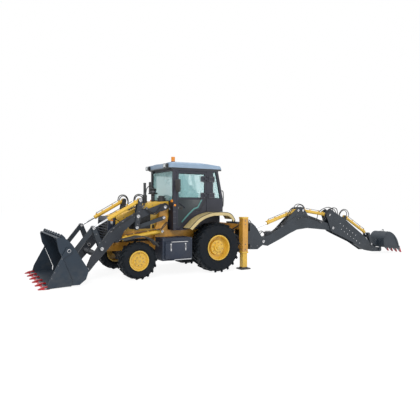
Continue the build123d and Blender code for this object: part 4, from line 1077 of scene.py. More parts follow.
@dataclass
class Hoses:
    """The hydraulic hoses of loader and backhoe."""

    loader: tuple[Run, ...] = (
        Run("lever_loop_a", "rear_levers", ((1958, 590, 1715), (1925, 590, 1800), (1930, 590, 1900),
            (1985, 590, 1985), (2065, 590, 2010), (2135, 590, 1965), (2158, 592, 1902)), 12.5, "tilt_barrels"),
        Run("lever_loop_b", "rear_levers", ((1958, 622, 1715), (1905, 622, 1800), (1905, 622, 1915),
            (1975, 622, 2020), (2090, 622, 2035), (2165, 620, 1985), (2196, 618, 1880)), 12.5, "tilt_barrels"),
        Run("arm_loop_a", "chassis", ((1262, 672, 1690), (1290, 672, 1770), (1390, 674, 1815), (1480, 674, 1745),
            (1585, 674, 1615), (1700, 674, 1580), (1800, 672, 1625), (1880, 668, 1715)), 14, "loader_arms"),
        Run("arm_loop_b", "chassis", ((1262, 700, 1660), (1300, 702, 1745), (1400, 704, 1785), (1495, 704, 1700),
            (1600, 704, 1575), (1715, 704, 1545), (1820, 700, 1600), (1905, 690, 1700)), 14, "loader_arms"),
        Run("lift_loop_a", "chassis", ((1268, 585, 1330), (1330, 640, 1330), (1410, 668, 1265), (1470, 668, 1190),
            (1530, 640, 1165), (1567, 612, 1150)), 11, "lift_barrels"),
        Run("lift_loop_b", "chassis", ((1268, 585, 1290), (1330, 660, 1295), (1420, 690, 1215), (1500, 692, 1145),
            (1600, 670, 1150), (1650, 620, 1160)), 11, "lift_barrels"),
        Run("arm_line", "loader_arms", ((1905, 615, 1680), (2000, 608, 1666), (2110, 662, 1590), (2240, 662, 1500),
            (2560, 660, 1290), (2780, 660, 1130)), 8),
    )
    hoe: tuple[Run, ...] = (
        Run("boom_loop_a", "boom", ((-2660, 402, 1095), (-2760, 412, 1230), (-2880, 410, 1430), (-3020, 395, 1610),
            (-3130, 340, 1665), (-3240, 306, 1655)), 12, "boom_barrel"),
        Run("boom_loop_b", "boom", ((-2700, 405, 1100), (-2820, 430, 1270), (-2960, 430, 1470), (-3090, 400, 1640),
            (-3190, 350, 1700), (-3290, 330, 1690)), 12, "boom_barrel"),
        Run("apex_loop_a", "boom", ((-3330, 355, 1640), (-3375, 345, 1745), (-3480, 335, 1775), (-3590, 320, 1745),
            (-3676, 306, 1672)), 11, "dipper_barrel", (1, 3)),
        Run("apex_loop_b", "boom", ((-3300, 245, 1640), (-3360, 255, 1765), (-3490, 265, 1800), (-3640, 285, 1760),
            (-3720, 298, 1670)), 11, "dipper_barrel", (1, 3)),
        Run("foot_line_a", "boom", ((-2120, 330, 900), (-2000, 330, 960), (-1900, 330, 900), (-1860, 320, 790)), 11,
            "kingpost", (0, 2)),
        Run("foot_line_b", "boom", ((-2120, 270, 900), (-1990, 270, 985), (-1880, 270, 920), (-1835, 280, 800)), 11,
            "kingpost", (0, 2)),
        Run("spine_line_a", "boom", ((-2330, 330, 900), (-2480, 330, 1010), (-2846, 330, 1230), (-3100, 350, 1390),
            (-3330, 355, 1640)), 10),
        Run("spine_line_b", "boom", ((-2330, 270, 900), (-2480, 270, 1010), (-2846, 270, 1230), (-3100, 250, 1390),
            (-3300, 245, 1640)), 10),
        Run("tail_line_a", "boom", ((-3330, 402, 1330), (-3620, 404, 1390), (-3900, 404, 1350), (-4160, 404, 1270),
            (-4320, 404, 1215)), 11),
        Run("tail_loop_a", "boom", ((-4320, 404, 1215), (-4430, 440, 1330), (-4510, 448, 1500), (-4620, 440, 1610),
            (-4800, 410, 1650), (-4980, 380, 1610), (-5080, 370, 1480)), 13, "dipper", (1, 4)),
        Run("tail_loop_b", "boom", ((-4340, 400, 1180), (-4470, 462, 1300), (-4560, 470, 1480), (-4680, 462, 1600),
            (-4870, 430, 1675), (-5080, 390, 1630), (-5160, 360, 1450)), 13, "dipper", (1, 4)),
        Run("tail_loop_c", "boom", ((-4300, 250, 1280), (-4380, 230, 1460), (-4480, 220, 1570), (-4640, 225, 1650),
            (-4840, 240, 1690), (-5010, 250, 1640), (-5110, 255, 1460)), 12, "dipper", (1, 4)),
        Run("hoop_a", "dipper_extension", ((-5300, 330, 1265), (-5290, 330, 1400), (-5340, 330, 1510),
                                           (-5450, 328, 1580),
            (-5570, 322, 1570), (-5650, 312, 1500), (-5668, 304, 1402)), 12, "hoe_bucket_barrel", (2, 5)),
        Run("hoop_b", "dipper_extension", ((-5330, 270, 1255), (-5330, 262, 1410), (-5400, 262, 1540),
                                           (-5540, 268, 1615),
            (-5690, 278, 1590), (-5780, 290, 1470), (-5760, 298, 1352)), 12, "hoe_bucket_barrel", (2, 5)),
    )

    def build(self) -> None:
        """Lays every hose, the loader's on both sides."""
        for run in self.loader:
            for side, out in SIDES:
                self.lay(run, f"{run.name}_{side}", out)
        for run in self.hoe:
            self.lay(run, run.name, 1)

    def lay(self, run: Run, name: str, out: int) -> None:
        """Lays one hose.

        Args:
            run: the hose.
            name: the piece's name.
            out: 1 on the left, -1 on the right.
        """
        piece = Piece(name, run.body)
        points = [spot(x, out * y, z) for x, y, z in run.points]
        piece.hose(points, run.radius)
        bend = (run.other, points[run.bend[0]], points[run.bend[1]]) if run.other else None
        piece.done(bend)


@dataclass
class CabTrim:
    """Seals, lamps, mirrors, wiper and fittings round the cab."""

    half: float = 740.0

    def loop(self, piece: Piece, corners: Sequence[Point], radius: float) -> None:
        """Lays a rubber seal round an opening.

        Args:
            piece: the piece that takes it.
            corners: the opening's corners in millimetres.
            radius: the seal's radius.
        """
        line = []
        points = [spot(*corner) for corner in corners]
        for i, point in enumerate(points):
            before, after = points[i - 1], points[(i + 1) % len(points)]
            line.append(point + (before - point).normalized() * 0.03)
            line.append(point + ((before - point).normalized() + (after - point).normalized()) * 0.008)
            line.append(point + (after - point).normalized() * 0.03)
        piece.tube(line, radius, Finish.SEAL, 6, closed=True, soft=False)

    def seals(self) -> None:
        """Seals all the glass."""
        piece = Piece("glass_seals", "chassis")
        for x in (1156, 1170):
            self.loop(piece, [(x, -664, 1886), (x, 664, 1886), (x, 664, 2654), (x, -664, 2654)], 7)
        self.loop(piece, [(-306, -664, 1958), (-306, 664, 1958), (-161, 664, 2654), (-161, -664, 2654)], 7)
        for out in (1, -1):
            for y in (699, 712):
                corners = [(-231, out * y, 1957), (-6, out * y, 1957), (-6, out * y, 2653), (-86, out * y, 2653)]
                self.loop(piece, corners, 6)
        piece.done()
        for side, out in SIDES:
            piece = Piece(f"door_fittings_{side}", f"door_{side}")
            for y in (712, 728):
                pane = ((265, 1966), (1029, 1966), (1029, 2589), (265, 2589))
                self.loop(piece, [(x, out * y, z) for x, z in pane], 7)
            for z in (2010, 2450):
                piece.studs(product((275, 358), (z - 40, z + 70)), out * 752, out, 16, 7)
            for x, z in ((858, 1711), (1008, 1824)):
                knob = ((0, 17), (4, 17), (8, 13), (16, 12))
                piece.lathe(spot(x, out * 739, z), LEFT * out, knob, Finish.BLACK, 18)
            piece.slab([(915, 1655), (1068, 1655), (1068, 1745), (915, 1745)], out * 742, 8, Finish.BLACK, 3)
            piece.lathe(spot(1040, out * 744, 1700), LEFT * out, ((0, 15), (6, 15), (8, 11), (9, 4)), Finish.BOLT, 20)
            piece.slab([(935, 1680), (1010, 1680), (1010, 1722), (935, 1722)], out * 748, 10, Finish.SEAL, 3)
            grab = ((420, 1900), (420, 1870), (700, 1790), (930, 1790), (930, 1820))
            piece.bead(grab, out * 690, 9, Finish.BLACK, 8, True)
            piece.slab([(215, 1932), (410, 1622), (536, 1622), (536, 1640), (420, 1640), (232, 1940)], out * 741, 4,
                       Finish.SEAL, 1)
            rear_edge = [(330, 1915), (455, 1700), (570, 1660), (715, 1535), (925, 1325)]
            piece.slab([(985, 1240), (1045, 1225), (1045, 1915)] + rear_edge, out * 741.2, 3, Finish.PANE, 0.8)
            inner = [(955, 1345), (742, 1562), (592, 1692), (482, 1726), (368, 1915)]
            piece.slab(rear_edge + inner, out * 743, 2, Finish.PANE_EDGE, 0)
            for x, z in ((650, 2587), (650, 1968)):
                piece.box((x - 26, out * 724, z - 9), (x + 26, out * 733, z + 9), Finish.BLACK, 2)
            piece.box((1098, out * 735, 2020), (1093, out * 700, 2060), Finish.BOLT, 1)
            piece.done()

    def lamp(self, piece: Piece, x: float, y: float, z: float, ahead: int) -> None:
        """Trims a work lamp: a rounded shell, a bezel, two reflectors, a lens with bars and two bolts on top.

        Args:
            piece: the piece that takes it.
            x: the station of its face.
            y: the width at its middle.
            z: the height at its middle.
            ahead: 1 where it looks forward, -1 where it looks back.
        """
        back = x - ahead * 62
        piece.box((back, y - 84, z - 53), (x - ahead * 4, y + 84, z + 53), Finish.SEAL, 12)
        ring = [(x, y + w, z + h) for w, h in ((-76, -45), (76, -45), (76, 45), (-76, 45))]
        self.loop(piece, ring, 8)
        for shift in (-38, 38):
            at = spot(x - ahead * 6, y + shift, z)
            bowl = ((0, 34), (6, 34), (9, 31), (3, 22), (1, 12), (8, 9), (12, 6), (13, 2))
            piece.lathe(at, AHEAD * ahead, bowl, Finish.CHROME, 22)
        piece.box((x - ahead * 1, y - 72, z - 42), (x + ahead * 5, y + 72, z + 42), Finish.CLEAR, 4)
        for bar in range(9):
            w = y - 64 + bar * 16
            piece.box((x + ahead * 3, w - 1, z - 40), (x + ahead * 6.5, w + 1, z + 40), Finish.CLEAR, 0)
        for shift in (-60, 60):
            piece.bolt(spot(x - ahead * 30, y + shift, z + 53), UP, 14, height=6)

    def lamps(self) -> None:
        """Trims every lamp."""
        piece = Piece("lamp_trim", "chassis")
        for out in (1, -1):
            self.lamp(piece, 1367, out * 600, 2780, 1)
            self.lamp(piece, -352, out * 460, 2791, -1)
            piece.lathe(spot(1135, out * 738, 1770), LEFT * out, ((0, 36), (5, 36), (7, 32)), Finish.SEAL, 26)
            piece.lathe(spot(1135, out * 742, 1770), LEFT * out, ((1, 29), (10, 28), (16, 22), (19, 10), (20, 2)),
                        Finish.AMBER, 26)
            piece.box((-503, out * 996, 1319), (-440, out * 1074, 1391), Finish.SEAL, 5)
            for z0, z1, finish in ((1325, 1346, Finish.CLEAR), (1347, 1364, Finish.AMBER), (1365, 1386, Finish.RED)):
                piece.box((-510, out * 1002, z0), (-500, out * 1068, z1), finish, 3)
            for y in (1012, 1058):
                piece.bolt(spot(-509, out * y, 1355), -AHEAD, 8, height=3)
        base = ((-4, 64), (8, 64), (12, 60), (18, 58), (22, 53), (30, 53), (31, 50.6))
        piece.lathe(spot(980, 300, 2899), UP, base, Finish.SEAL, 32)
        for up in range(6):
            z = 2944 + up * 14
            piece.lathe(spot(980, 300, z), UP, ((0, 50.2), (3, 51.6), (6, 51.6), (9, 50.2)), Finish.AMBER, 32)
        piece.lathe(spot(980, 300, 3036), UP, ((0, 50.2), (4, 52), (9, 50), (13.5, 42)), Finish.AMBER, 32)
        for c, s in around(3):
            piece.bolt(spot(980 + 59 * c, 300 + 59 * s, 2906), UP, 8, height=4)
        piece.done()

    def mirrors(self) -> None:
        """Puts shells, glass and arms on the mirrors."""
        piece = Piece("mirror_trim", "chassis")
        for out in (1, -1):
            piece.box((1102, out * 794, 2110), (1150, out * 1006, 2429), Finish.BLACK, 20)
            piece.box((1096, out * 808, 2124), (1103, out * 992, 2415), Finish.SEAL, 3)
            piece.box((1093, out * 816, 2132), (1098, out * 984, 2407), Finish.CHROME, 2)
            piece.tube([spot(1122, out * y, z) for y, z in ((745, 2270), (790, 2270), (850, 2275), (905, 2272))], 13,
                       Finish.BLACK, 10)
            stay = ((745, 2380), (800, 2384), (880, 2380))
            piece.tube([spot(1122, out * y, z) for y, z in stay], 8, Finish.BLACK, 8)
            for z in (2270, 2380):
                piece.lathe(spot(1122, out * 738, z), LEFT * out, ((0, 30), (8, 30), (11, 26), (14, 14)),
                            Finish.BLACK, 22)
                for up in (-1, 1):
                    piece.bolt(spot(1122, out * 745, z + up * 20), LEFT * out, 9, height=4)
        piece.done()

    def fittings(self) -> None:
        """Adds the wiper, the hinge bolts, the roof's trim and the rear wall's vent."""
        piece = Piece("cab_fittings", "chassis")
        hub = spot(1180, -520, 2676)
        piece.lathe(hub, AHEAD, ((-2, 30), (10, 30), (13, 24), (14, 14), (30, 14), (32, 8)), Finish.SEAL, 20)
        piece.tube([hub + AHEAD * 0.022, spot(1206, -540, 2560), spot(1200, -585, 2420)], 7, Finish.SEAL, 8)
        piece.tube([spot(1182, -585, 2600), spot(1190, -587, 2400), spot(1182, -589, 2090)], 6, Finish.SEAL, 6)
        piece.box((1168, -587.5, 2085), (1184, -585.5, 2605), Finish.SEAL, 0)
        for out in (1, -1):
            for z in (2010, 2450):
                piece.studs(product((-22, 40, 100), (z - 40, z + 70)), out * 752, out, 16, 7)
                for up in (-37, 77):
                    eye = ((-2, 12), (0, 13), (3, 13), (5, 10))
                    piece.lathe(spot(197, out * 755, z + up), UP, eye, Finish.BOLT, 14)
            gutter = ((-230, 2716), (300, 2716), (1120, 2716), (1180, 2720))
            piece.bead(gutter, out * (self.half + 2), 7, Finish.SEAL, 8, True)
            rail = ((-268, 1720), (-330, 1760), (-330, 2120), (-262, 2160))
            piece.bead(rail, out * 724, 13, Finish.BLACK, 10, True)
            piece.studs(product((1128, 1165), (1300, 1450, 1600, 1750)), out * 738.5, out, 14, 6)
            piece.studs(((230, 1880), (320, 1735), (415, 1640)), out * 729, out, 12, 5)
        for row in range(9):
            z = 1290 + row * 24
            piece.box((-318, -240, z), (-306, 240, z + 12), Finish.SEAL, 2, pitch=20)
        hatch = [[spot(x, y, z) for x, y in corners] for z, corners in (
            (2898, ((120, -330), (720, -330), (720, 330), (120, 330))),
            (2914, ((120, -330), (720, -330), (720, 330), (120, 330))),
            (2921, ((150, -300), (690, -300), (690, 300), (150, 300))),
        )]
        piece.loft(hatch, Finish.ROOF)
        for y in (-430, 430):
            ridge = ((-120, 2839), (234, 2880), (464, 2906), (1032, 2903), (1225, 2868))
            piece.tube([spot(x, y, z - 3) for x, z in ridge], 9, Finish.ROOF, 8)
        piece.done()

    def build(self) -> None:
        """Adds everything on the outside of the cab."""
        self.seals()
        self.lamps()
        self.mirrors()
        self.fittings()


@dataclass
class CabInside:
    """What shows through the glass: wheel, dash, levers, mat and headliner."""

    wheel: Point = (924, 0, 1941)

    def build(self) -> None:
        """Builds the inside of the cab."""
        piece = Piece("cab_inside", "chassis")
        middle, axis = spot(*self.wheel), Vector((-130, 0, 240)).normalized()
        middle = middle + axis * 0.0125
        across = axis.cross(LEFT).normalized()
        ring = [middle + (LEFT * c + across * s) * 0.178 for c, s in around(28)]
        piece.tube(ring, 16, Finish.BLACK, 10, closed=True, soft=False)
        piece.lathe(middle, axis, ((-20, 52), (8, 52), (16, 46), (20, 30), (21, 8)), Finish.BLACK, 26)
        piece.lathe(spot(1060, 0, 1695), Vector((-141, 0, 260)), ((0, 62), (20, 58), (120, 44), (190, 40)),
                    Finish.SEAL, 20)
        piece.box((980, -230, 1690), (1120, 230, 1800), Finish.BLACK, 16, pitch=-18)
        for y, radius in ((-130, 40), (-40, 52), (60, 52), (150, 40)):
            dial = spot(985, y, 1770)
            turn = Vector((-0.92, 0, 0.4))
            piece.lathe(dial, turn, ((-6, radius), (9, radius), (12, radius - 5), (8, radius - 7)), Finish.SEAL, 24)
            piece.lathe(dial, turn, ((2, radius - 8), (9.5, radius - 8)), Finish.CLEAR, 24)
            piece.box((982, y - 2, 1776), (975, y + 2, 1776 + radius * 0.6), Finish.AMBER, 0)
        for switch in range(6):
            y = -300 + switch * 22
            piece.box((955, y, 1600), (962, y + 16, 1640), Finish.SEAL, 2)
        piece.box((-285, -570, 1150.5), (1120, 570, 1158), Finish.SEAL, 2)
        for y in (-170, -60, 110):
            piece.solid(spot(905, y, 1235), [Vector((0.012, 0, 0.035)), LEFT * 0.04, Vector((0.008, 0, -0.003))],
                        Finish.BLACK, 3)
            piece.tube([spot(925, y, 1255), spot(962, y, 1290)], 9, Finish.BOLT, 8, soft=False)
        for out in (1, -1):
            piece.box((330, out * 300, 1151), (760, out * 420, 1640), Finish.BLACK, 18)
            piece.box((340, out * 310, 1700), (650, out * 400, 1756), Finish.SEAL, 20)
            piece.box((380, out * 335, 1630), (430, out * 375, 1710), Finish.BLACK, 6)
            for lever, x in enumerate((590, 650, 710)):
                top = spot(x + 20, out * (350 + 10 * lever), 1850)
                piece.lathe(spot(x, out * 360, 1636), UP, ((0, 30), (14, 26), (36, 12), (44, 9)), Finish.SEAL, 16)
                piece.tube([spot(x, out * 360, 1640), spot(x + 4, out * 360, 1740), top], 7, Finish.BOLT, 8)
                piece.lathe(top - UP * 0.01, UP, ((0, 10), (10, 18), (30, 23), (50, 21), (62, 12), (66, 3)),
                            Finish.BLACK, 16)
            hoe_top = spot(-90, out * 130, 1800)
            piece.tube([spot(-150, out * 130, 1540), spot(-140, out * 130, 1680), hoe_top], 8, Finish.BOLT, 8)
            piece.lathe(hoe_top, UP, ((-6, 10), (8, 20), (40, 24), (62, 18), (68, 4)), Finish.BLACK, 16)
        piece.box((-260, -260, 1151), (-90, 260, 1548), Finish.BLACK, 20)
        piece.box((-180, -664, 2772), (1150, 664, 2789), Finish.STACK, 4)
        piece.box((420, -110, 2758), (560, 110, 2774), Finish.CLEAR, 6)
        for out in (1, -1):
            piece.box((1090, out * 200, 2560), (1140, out * 560, 2690), Finish.SEAL, 8, pitch=25)
            piece.tube([spot(1080, out * 690, z) for z in (2480, 2460, 2100, 2080)], 10, Finish.BLACK, 8)
        piece.box((1090, -90, 2560), (1118, 90, 2620), Finish.SEAL, 8)
        piece.done()


@dataclass
class Seat:
    """The operator's seat, its cushions blown up by a cloth simulation."""

    pads: tuple[tuple[str, Point, Point, float], ...] = (
        ("seat_base", (268, -232, 1568), (732, 232, 1650), 0.7),
        ("seat_back", (208, -232, 1668), (306, 232, 2120), 0.7),
        ("seat_headrest", (224, -112, 2140), (296, 112, 2322), 0.8),
    )
    cap: float = 0.022

    def pad(self, name: str, low: Point, high: Point, fill: float) -> None:
        """Makes one cushion and hides the CAD seat cushion.

        Args:
            name: the piece's name.
            low: one corner in millimetres.
            high: the other corner.
            fill: how tight it is, from 0 to 1; not used.
        """
        piece = Piece(name, "chassis")
        piece.box(low, high, Finish.SEAT, 18)
        pad = piece.done()
        self.blow(pad)
        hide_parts("seat_cushion")

    def blow(self, pad: bpy.types.Object) -> None:
        """Fills a cushion with pressure under cloth simulation and keeps the result."""
        scene = bpy.context.scene
        bpy.context.view_layer.objects.active = pad
        remesh = pad.modifiers.new("remesh", "REMESH")
        remesh.mode = "VOXEL"
        remesh.voxel_size = 0.008
        bpy.ops.object.modifier_apply(modifier=remesh.name)
        start = [v.co.copy() for v in pad.data.vertices]
        cloth = pad.modifiers.new("cloth", "CLOTH")
        cloth.settings.use_pressure = True
        cloth.settings.uniform_pressure_force = 4.0
        cloth.settings.effector_weights.gravity = 0.0
        for frame_number in range(1, 21):
            scene.frame_set(frame_number)
        bpy.ops.object.modifier_apply(modifier=cloth.name)
        for vertex, was in zip(pad.data.vertices, start):
            moved = vertex.co - was
            if moved.length > self.cap:
                vertex.co = was + moved.normalized() * self.cap
        scene.frame_set(1)
        finer = pad.modifiers.new("finer", "SUBSURF")
        finer.levels = 1
        bpy.ops.object.modifier_apply(modifier=finer.name)
        for face in pad.data.polygons:
            face.use_smooth = True

    def build(self) -> None:
        """Makes the three cushions and the seat's shell and rails."""
        for name, low, high, fill in self.pads:
            self.pad(name, low, high, fill)
        piece = Piece("seat_trim", "chassis")
        piece.box((196, -244, 1640), (206, 244, 2135), Finish.BLACK, 4)
        piece.box((262, -240, 1562), (738, 240, 1572), Finish.BLACK, 4)
        for y in (-60, 60):
            piece.tube([spot(258, y, 2100), spot(258, y, 2160)], 7, Finish.BOLT, 8, soft=False)
        for out in (1, -1):
            piece.box((290, out * 150, 1540), (700, out * 178, 1564), Finish.BOLT, 3)
            piece.tube([spot(300, out * 236, 1700), spot(330, out * 262, 1690), spot(420, out * 262, 1640)], 9,
                       Finish.SEAL, 8)
        piece.done()


@dataclass
class HoodTrim:
    """Vents, latches and seams on the hood, and the fittings of its stacks."""

    half: float = 465.0

    def sides(self, piece: Piece) -> None:
        """Adds louvres, mesh and latches to both flanks."""
        for out in (1, -1):
            y = out * self.half
            mesh = ((1700, 1180), (2240, 1180), (2330, 1330), (2330, 1470), (1700, 1640))
            piece.slab(mesh, y + out * 1, 5, Finish.MESH, 0)
            edge = [spot(x, y + out * 4, z) for x, z in mesh]
            for i, point in enumerate(edge):
                piece.tube([point, edge[(i + 1) % len(edge)]], 7, Finish.DARK, 6, soft=False)
            for bar in range(1, 6):
                x = 1700 + bar * 92
                top = 1640 - bar * 26
                piece.tube([spot(x, y + out * 4, 1182), spot(x, y + out * 4, top)], 5, Finish.DARK, 6, soft=False)
            for x in (1290, 1620):
                piece.slab([(x - 26, 1180), (x + 26, 1180), (x + 26, 1275), (x - 26, 1275)], y + out * 3, 8,
                           Finish.BLACK, 3)
                piece.slab([(x - 14, 1195), (x + 14, 1195), (x + 14, 1262), (x - 14, 1262)], y + out * 9, 8,
                           Finish.SEAL, 3)
            for x, z in ((1215, 1400), (1205, 1600), (1200, 1800), (1640, 1800), (1900, 1725), (2150, 1610),
                         (2400, 1500)):
                piece.bolt(spot(x, y - out * 0.5, z - 30), LEFT * out, 15, Finish.BOLT, 6)
        ridge = ((1195, 1872), (1620, 1852), (1900, 1777), (2420, 1547), (2560, 1501))
        for y in (-330, 330):
            piece.bead(ridge, y, 7, Finish.YELLOW)
        handle = ((2330, -80, 1580), (2322, -80, 1612), (2322, 80, 1612), (2330, 80, 1580))
        piece.tube([spot(*place) for place in handle], 8, Finish.BLACK, 8, soft=False)
        for y in (-250, 250):
            for row in range(5):
                x = 2010 + row * 46
                z = 1728 - row * 20.3
                piece.box((x, y - 120, z - 4), (x + 26, y + 120, z + 7), Finish.SEAL, 3, pitch=-24)

    def stacks(self, piece: Piece) -> None:
        """Dresses exhaust, pre-cleaner, vent dome and the air pipe."""
        exhaust = spot(1722, 150, 0)
        shield = ((1796, 50), (1798, 58), (2022, 58), (2030, 50))
        piece.lathe(exhaust, UP, shield, Finish.STACK, 24)
        for row in range(6):
            for c, s in around(8, 0.5 * (row % 2)):
                at = spot(1722 + 57 * c, 150 + 57 * s, 1825 + row * 34)
                out = Vector((c, s, 0))
                piece.solid(at, [out * 0.003, out.cross(UP) * 0.006, UP * 0.011], Finish.SEAL, 0)
        for z in (2044, 2060):
            piece.lathe(exhaust, UP, ((z, 34), (z + 1, 38), (z + 9, 38), (z + 10, 34)), Finish.BOLT, 22)
        piece.lathe(exhaust, UP, ((2312, 34.3), (2316, 37), (2340, 37), (2346, 35), (2347, 30), (2345, 29)),
                    Finish.STACK, 24)
        piece.lathe(exhaust, UP, ((2343.5, 29), (2345.5, 29)), Finish.SEAL, 24)
        cleaner = spot(1489, 150, 0)
        piece.lathe(cleaner, UP, ((1872, 45), (1874, 62), (1884, 62), (1886, 46)), Finish.SEAL, 24)
        for z in (1990, 2046):
            piece.lathe(cleaner, UP, ((z, 45.3), (z + 1, 49), (z + 11, 49), (z + 12, 45.3)), Finish.BOLT, 24)
        piece.lathe(cleaner, UP, ((2055, 118), (2060, 127), (2078, 127), (2086, 112), (2088, 73)), Finish.SEAL, 32)
        piece.lathe(cleaner, UP, ((2108, 72.3), (2112, 75), (2128, 75), (2132, 72.3)), Finish.BOLT, 32)
        piece.lathe(cleaner, UP, ((2176, 82), (2190, 83), (2198, 74), (2204, 40), (2205, 20)), Finish.SEAL, 32)
        piece.lathe(cleaner, UP, ((2200, 12), (2214, 12), (2217, 8)), Finish.BOLT, 12)
        for c, s in around(16):
            out = Vector((c, s, 0))
            piece.solid(cleaner + out * 0.075 + UP * 2.153, [out * 0.004, out.cross(UP) * 0.003, UP * 0.018],
                        Finish.SEAL, 0)
        dome = spot(1325, 330, 0)
        piece.lathe(dome, UP, ((1866, 105), (1868, 116), (1880, 116), (1882, 105.3)), Finish.SEAL, 32)
        piece.lathe(dome, UP, ((1936, 105.3), (1940, 109), (1952, 109), (1956, 84)), Finish.BLACK, 32)
        piece.lathe(dome, UP, ((1990, 82.3), (2002, 84), (2010, 70), (2014, 40), (2015, 10)), Finish.BLACK, 32)
        for c, s in around(6):
            piece.bolt(spot(1325 + 97 * c, 330 + 97 * s, 1953), UP, 12, height=5)
        pipe = ((1746, 290, 1800), (1744, 290, 2050), (1722, 290, 2190), (1655, 290, 2258), (1585, 290, 2262),
                (1530, 290, 2225), (1514, 290, 2165))
        piece.tube([spot(*point) for point in pipe], 11, Finish.SEAL, 10)
        piece.lathe(spot(1746, 290, 1800), UP, ((-6, 24), (14, 24), (18, 16), (30, 13)), Finish.BOLT, 18)

    def build(self) -> None:
        """Builds the hood's trim."""
        piece = Piece("hood_trim", "hood")
        self.sides(piece)
        self.stacks(piece)
        piece.done()


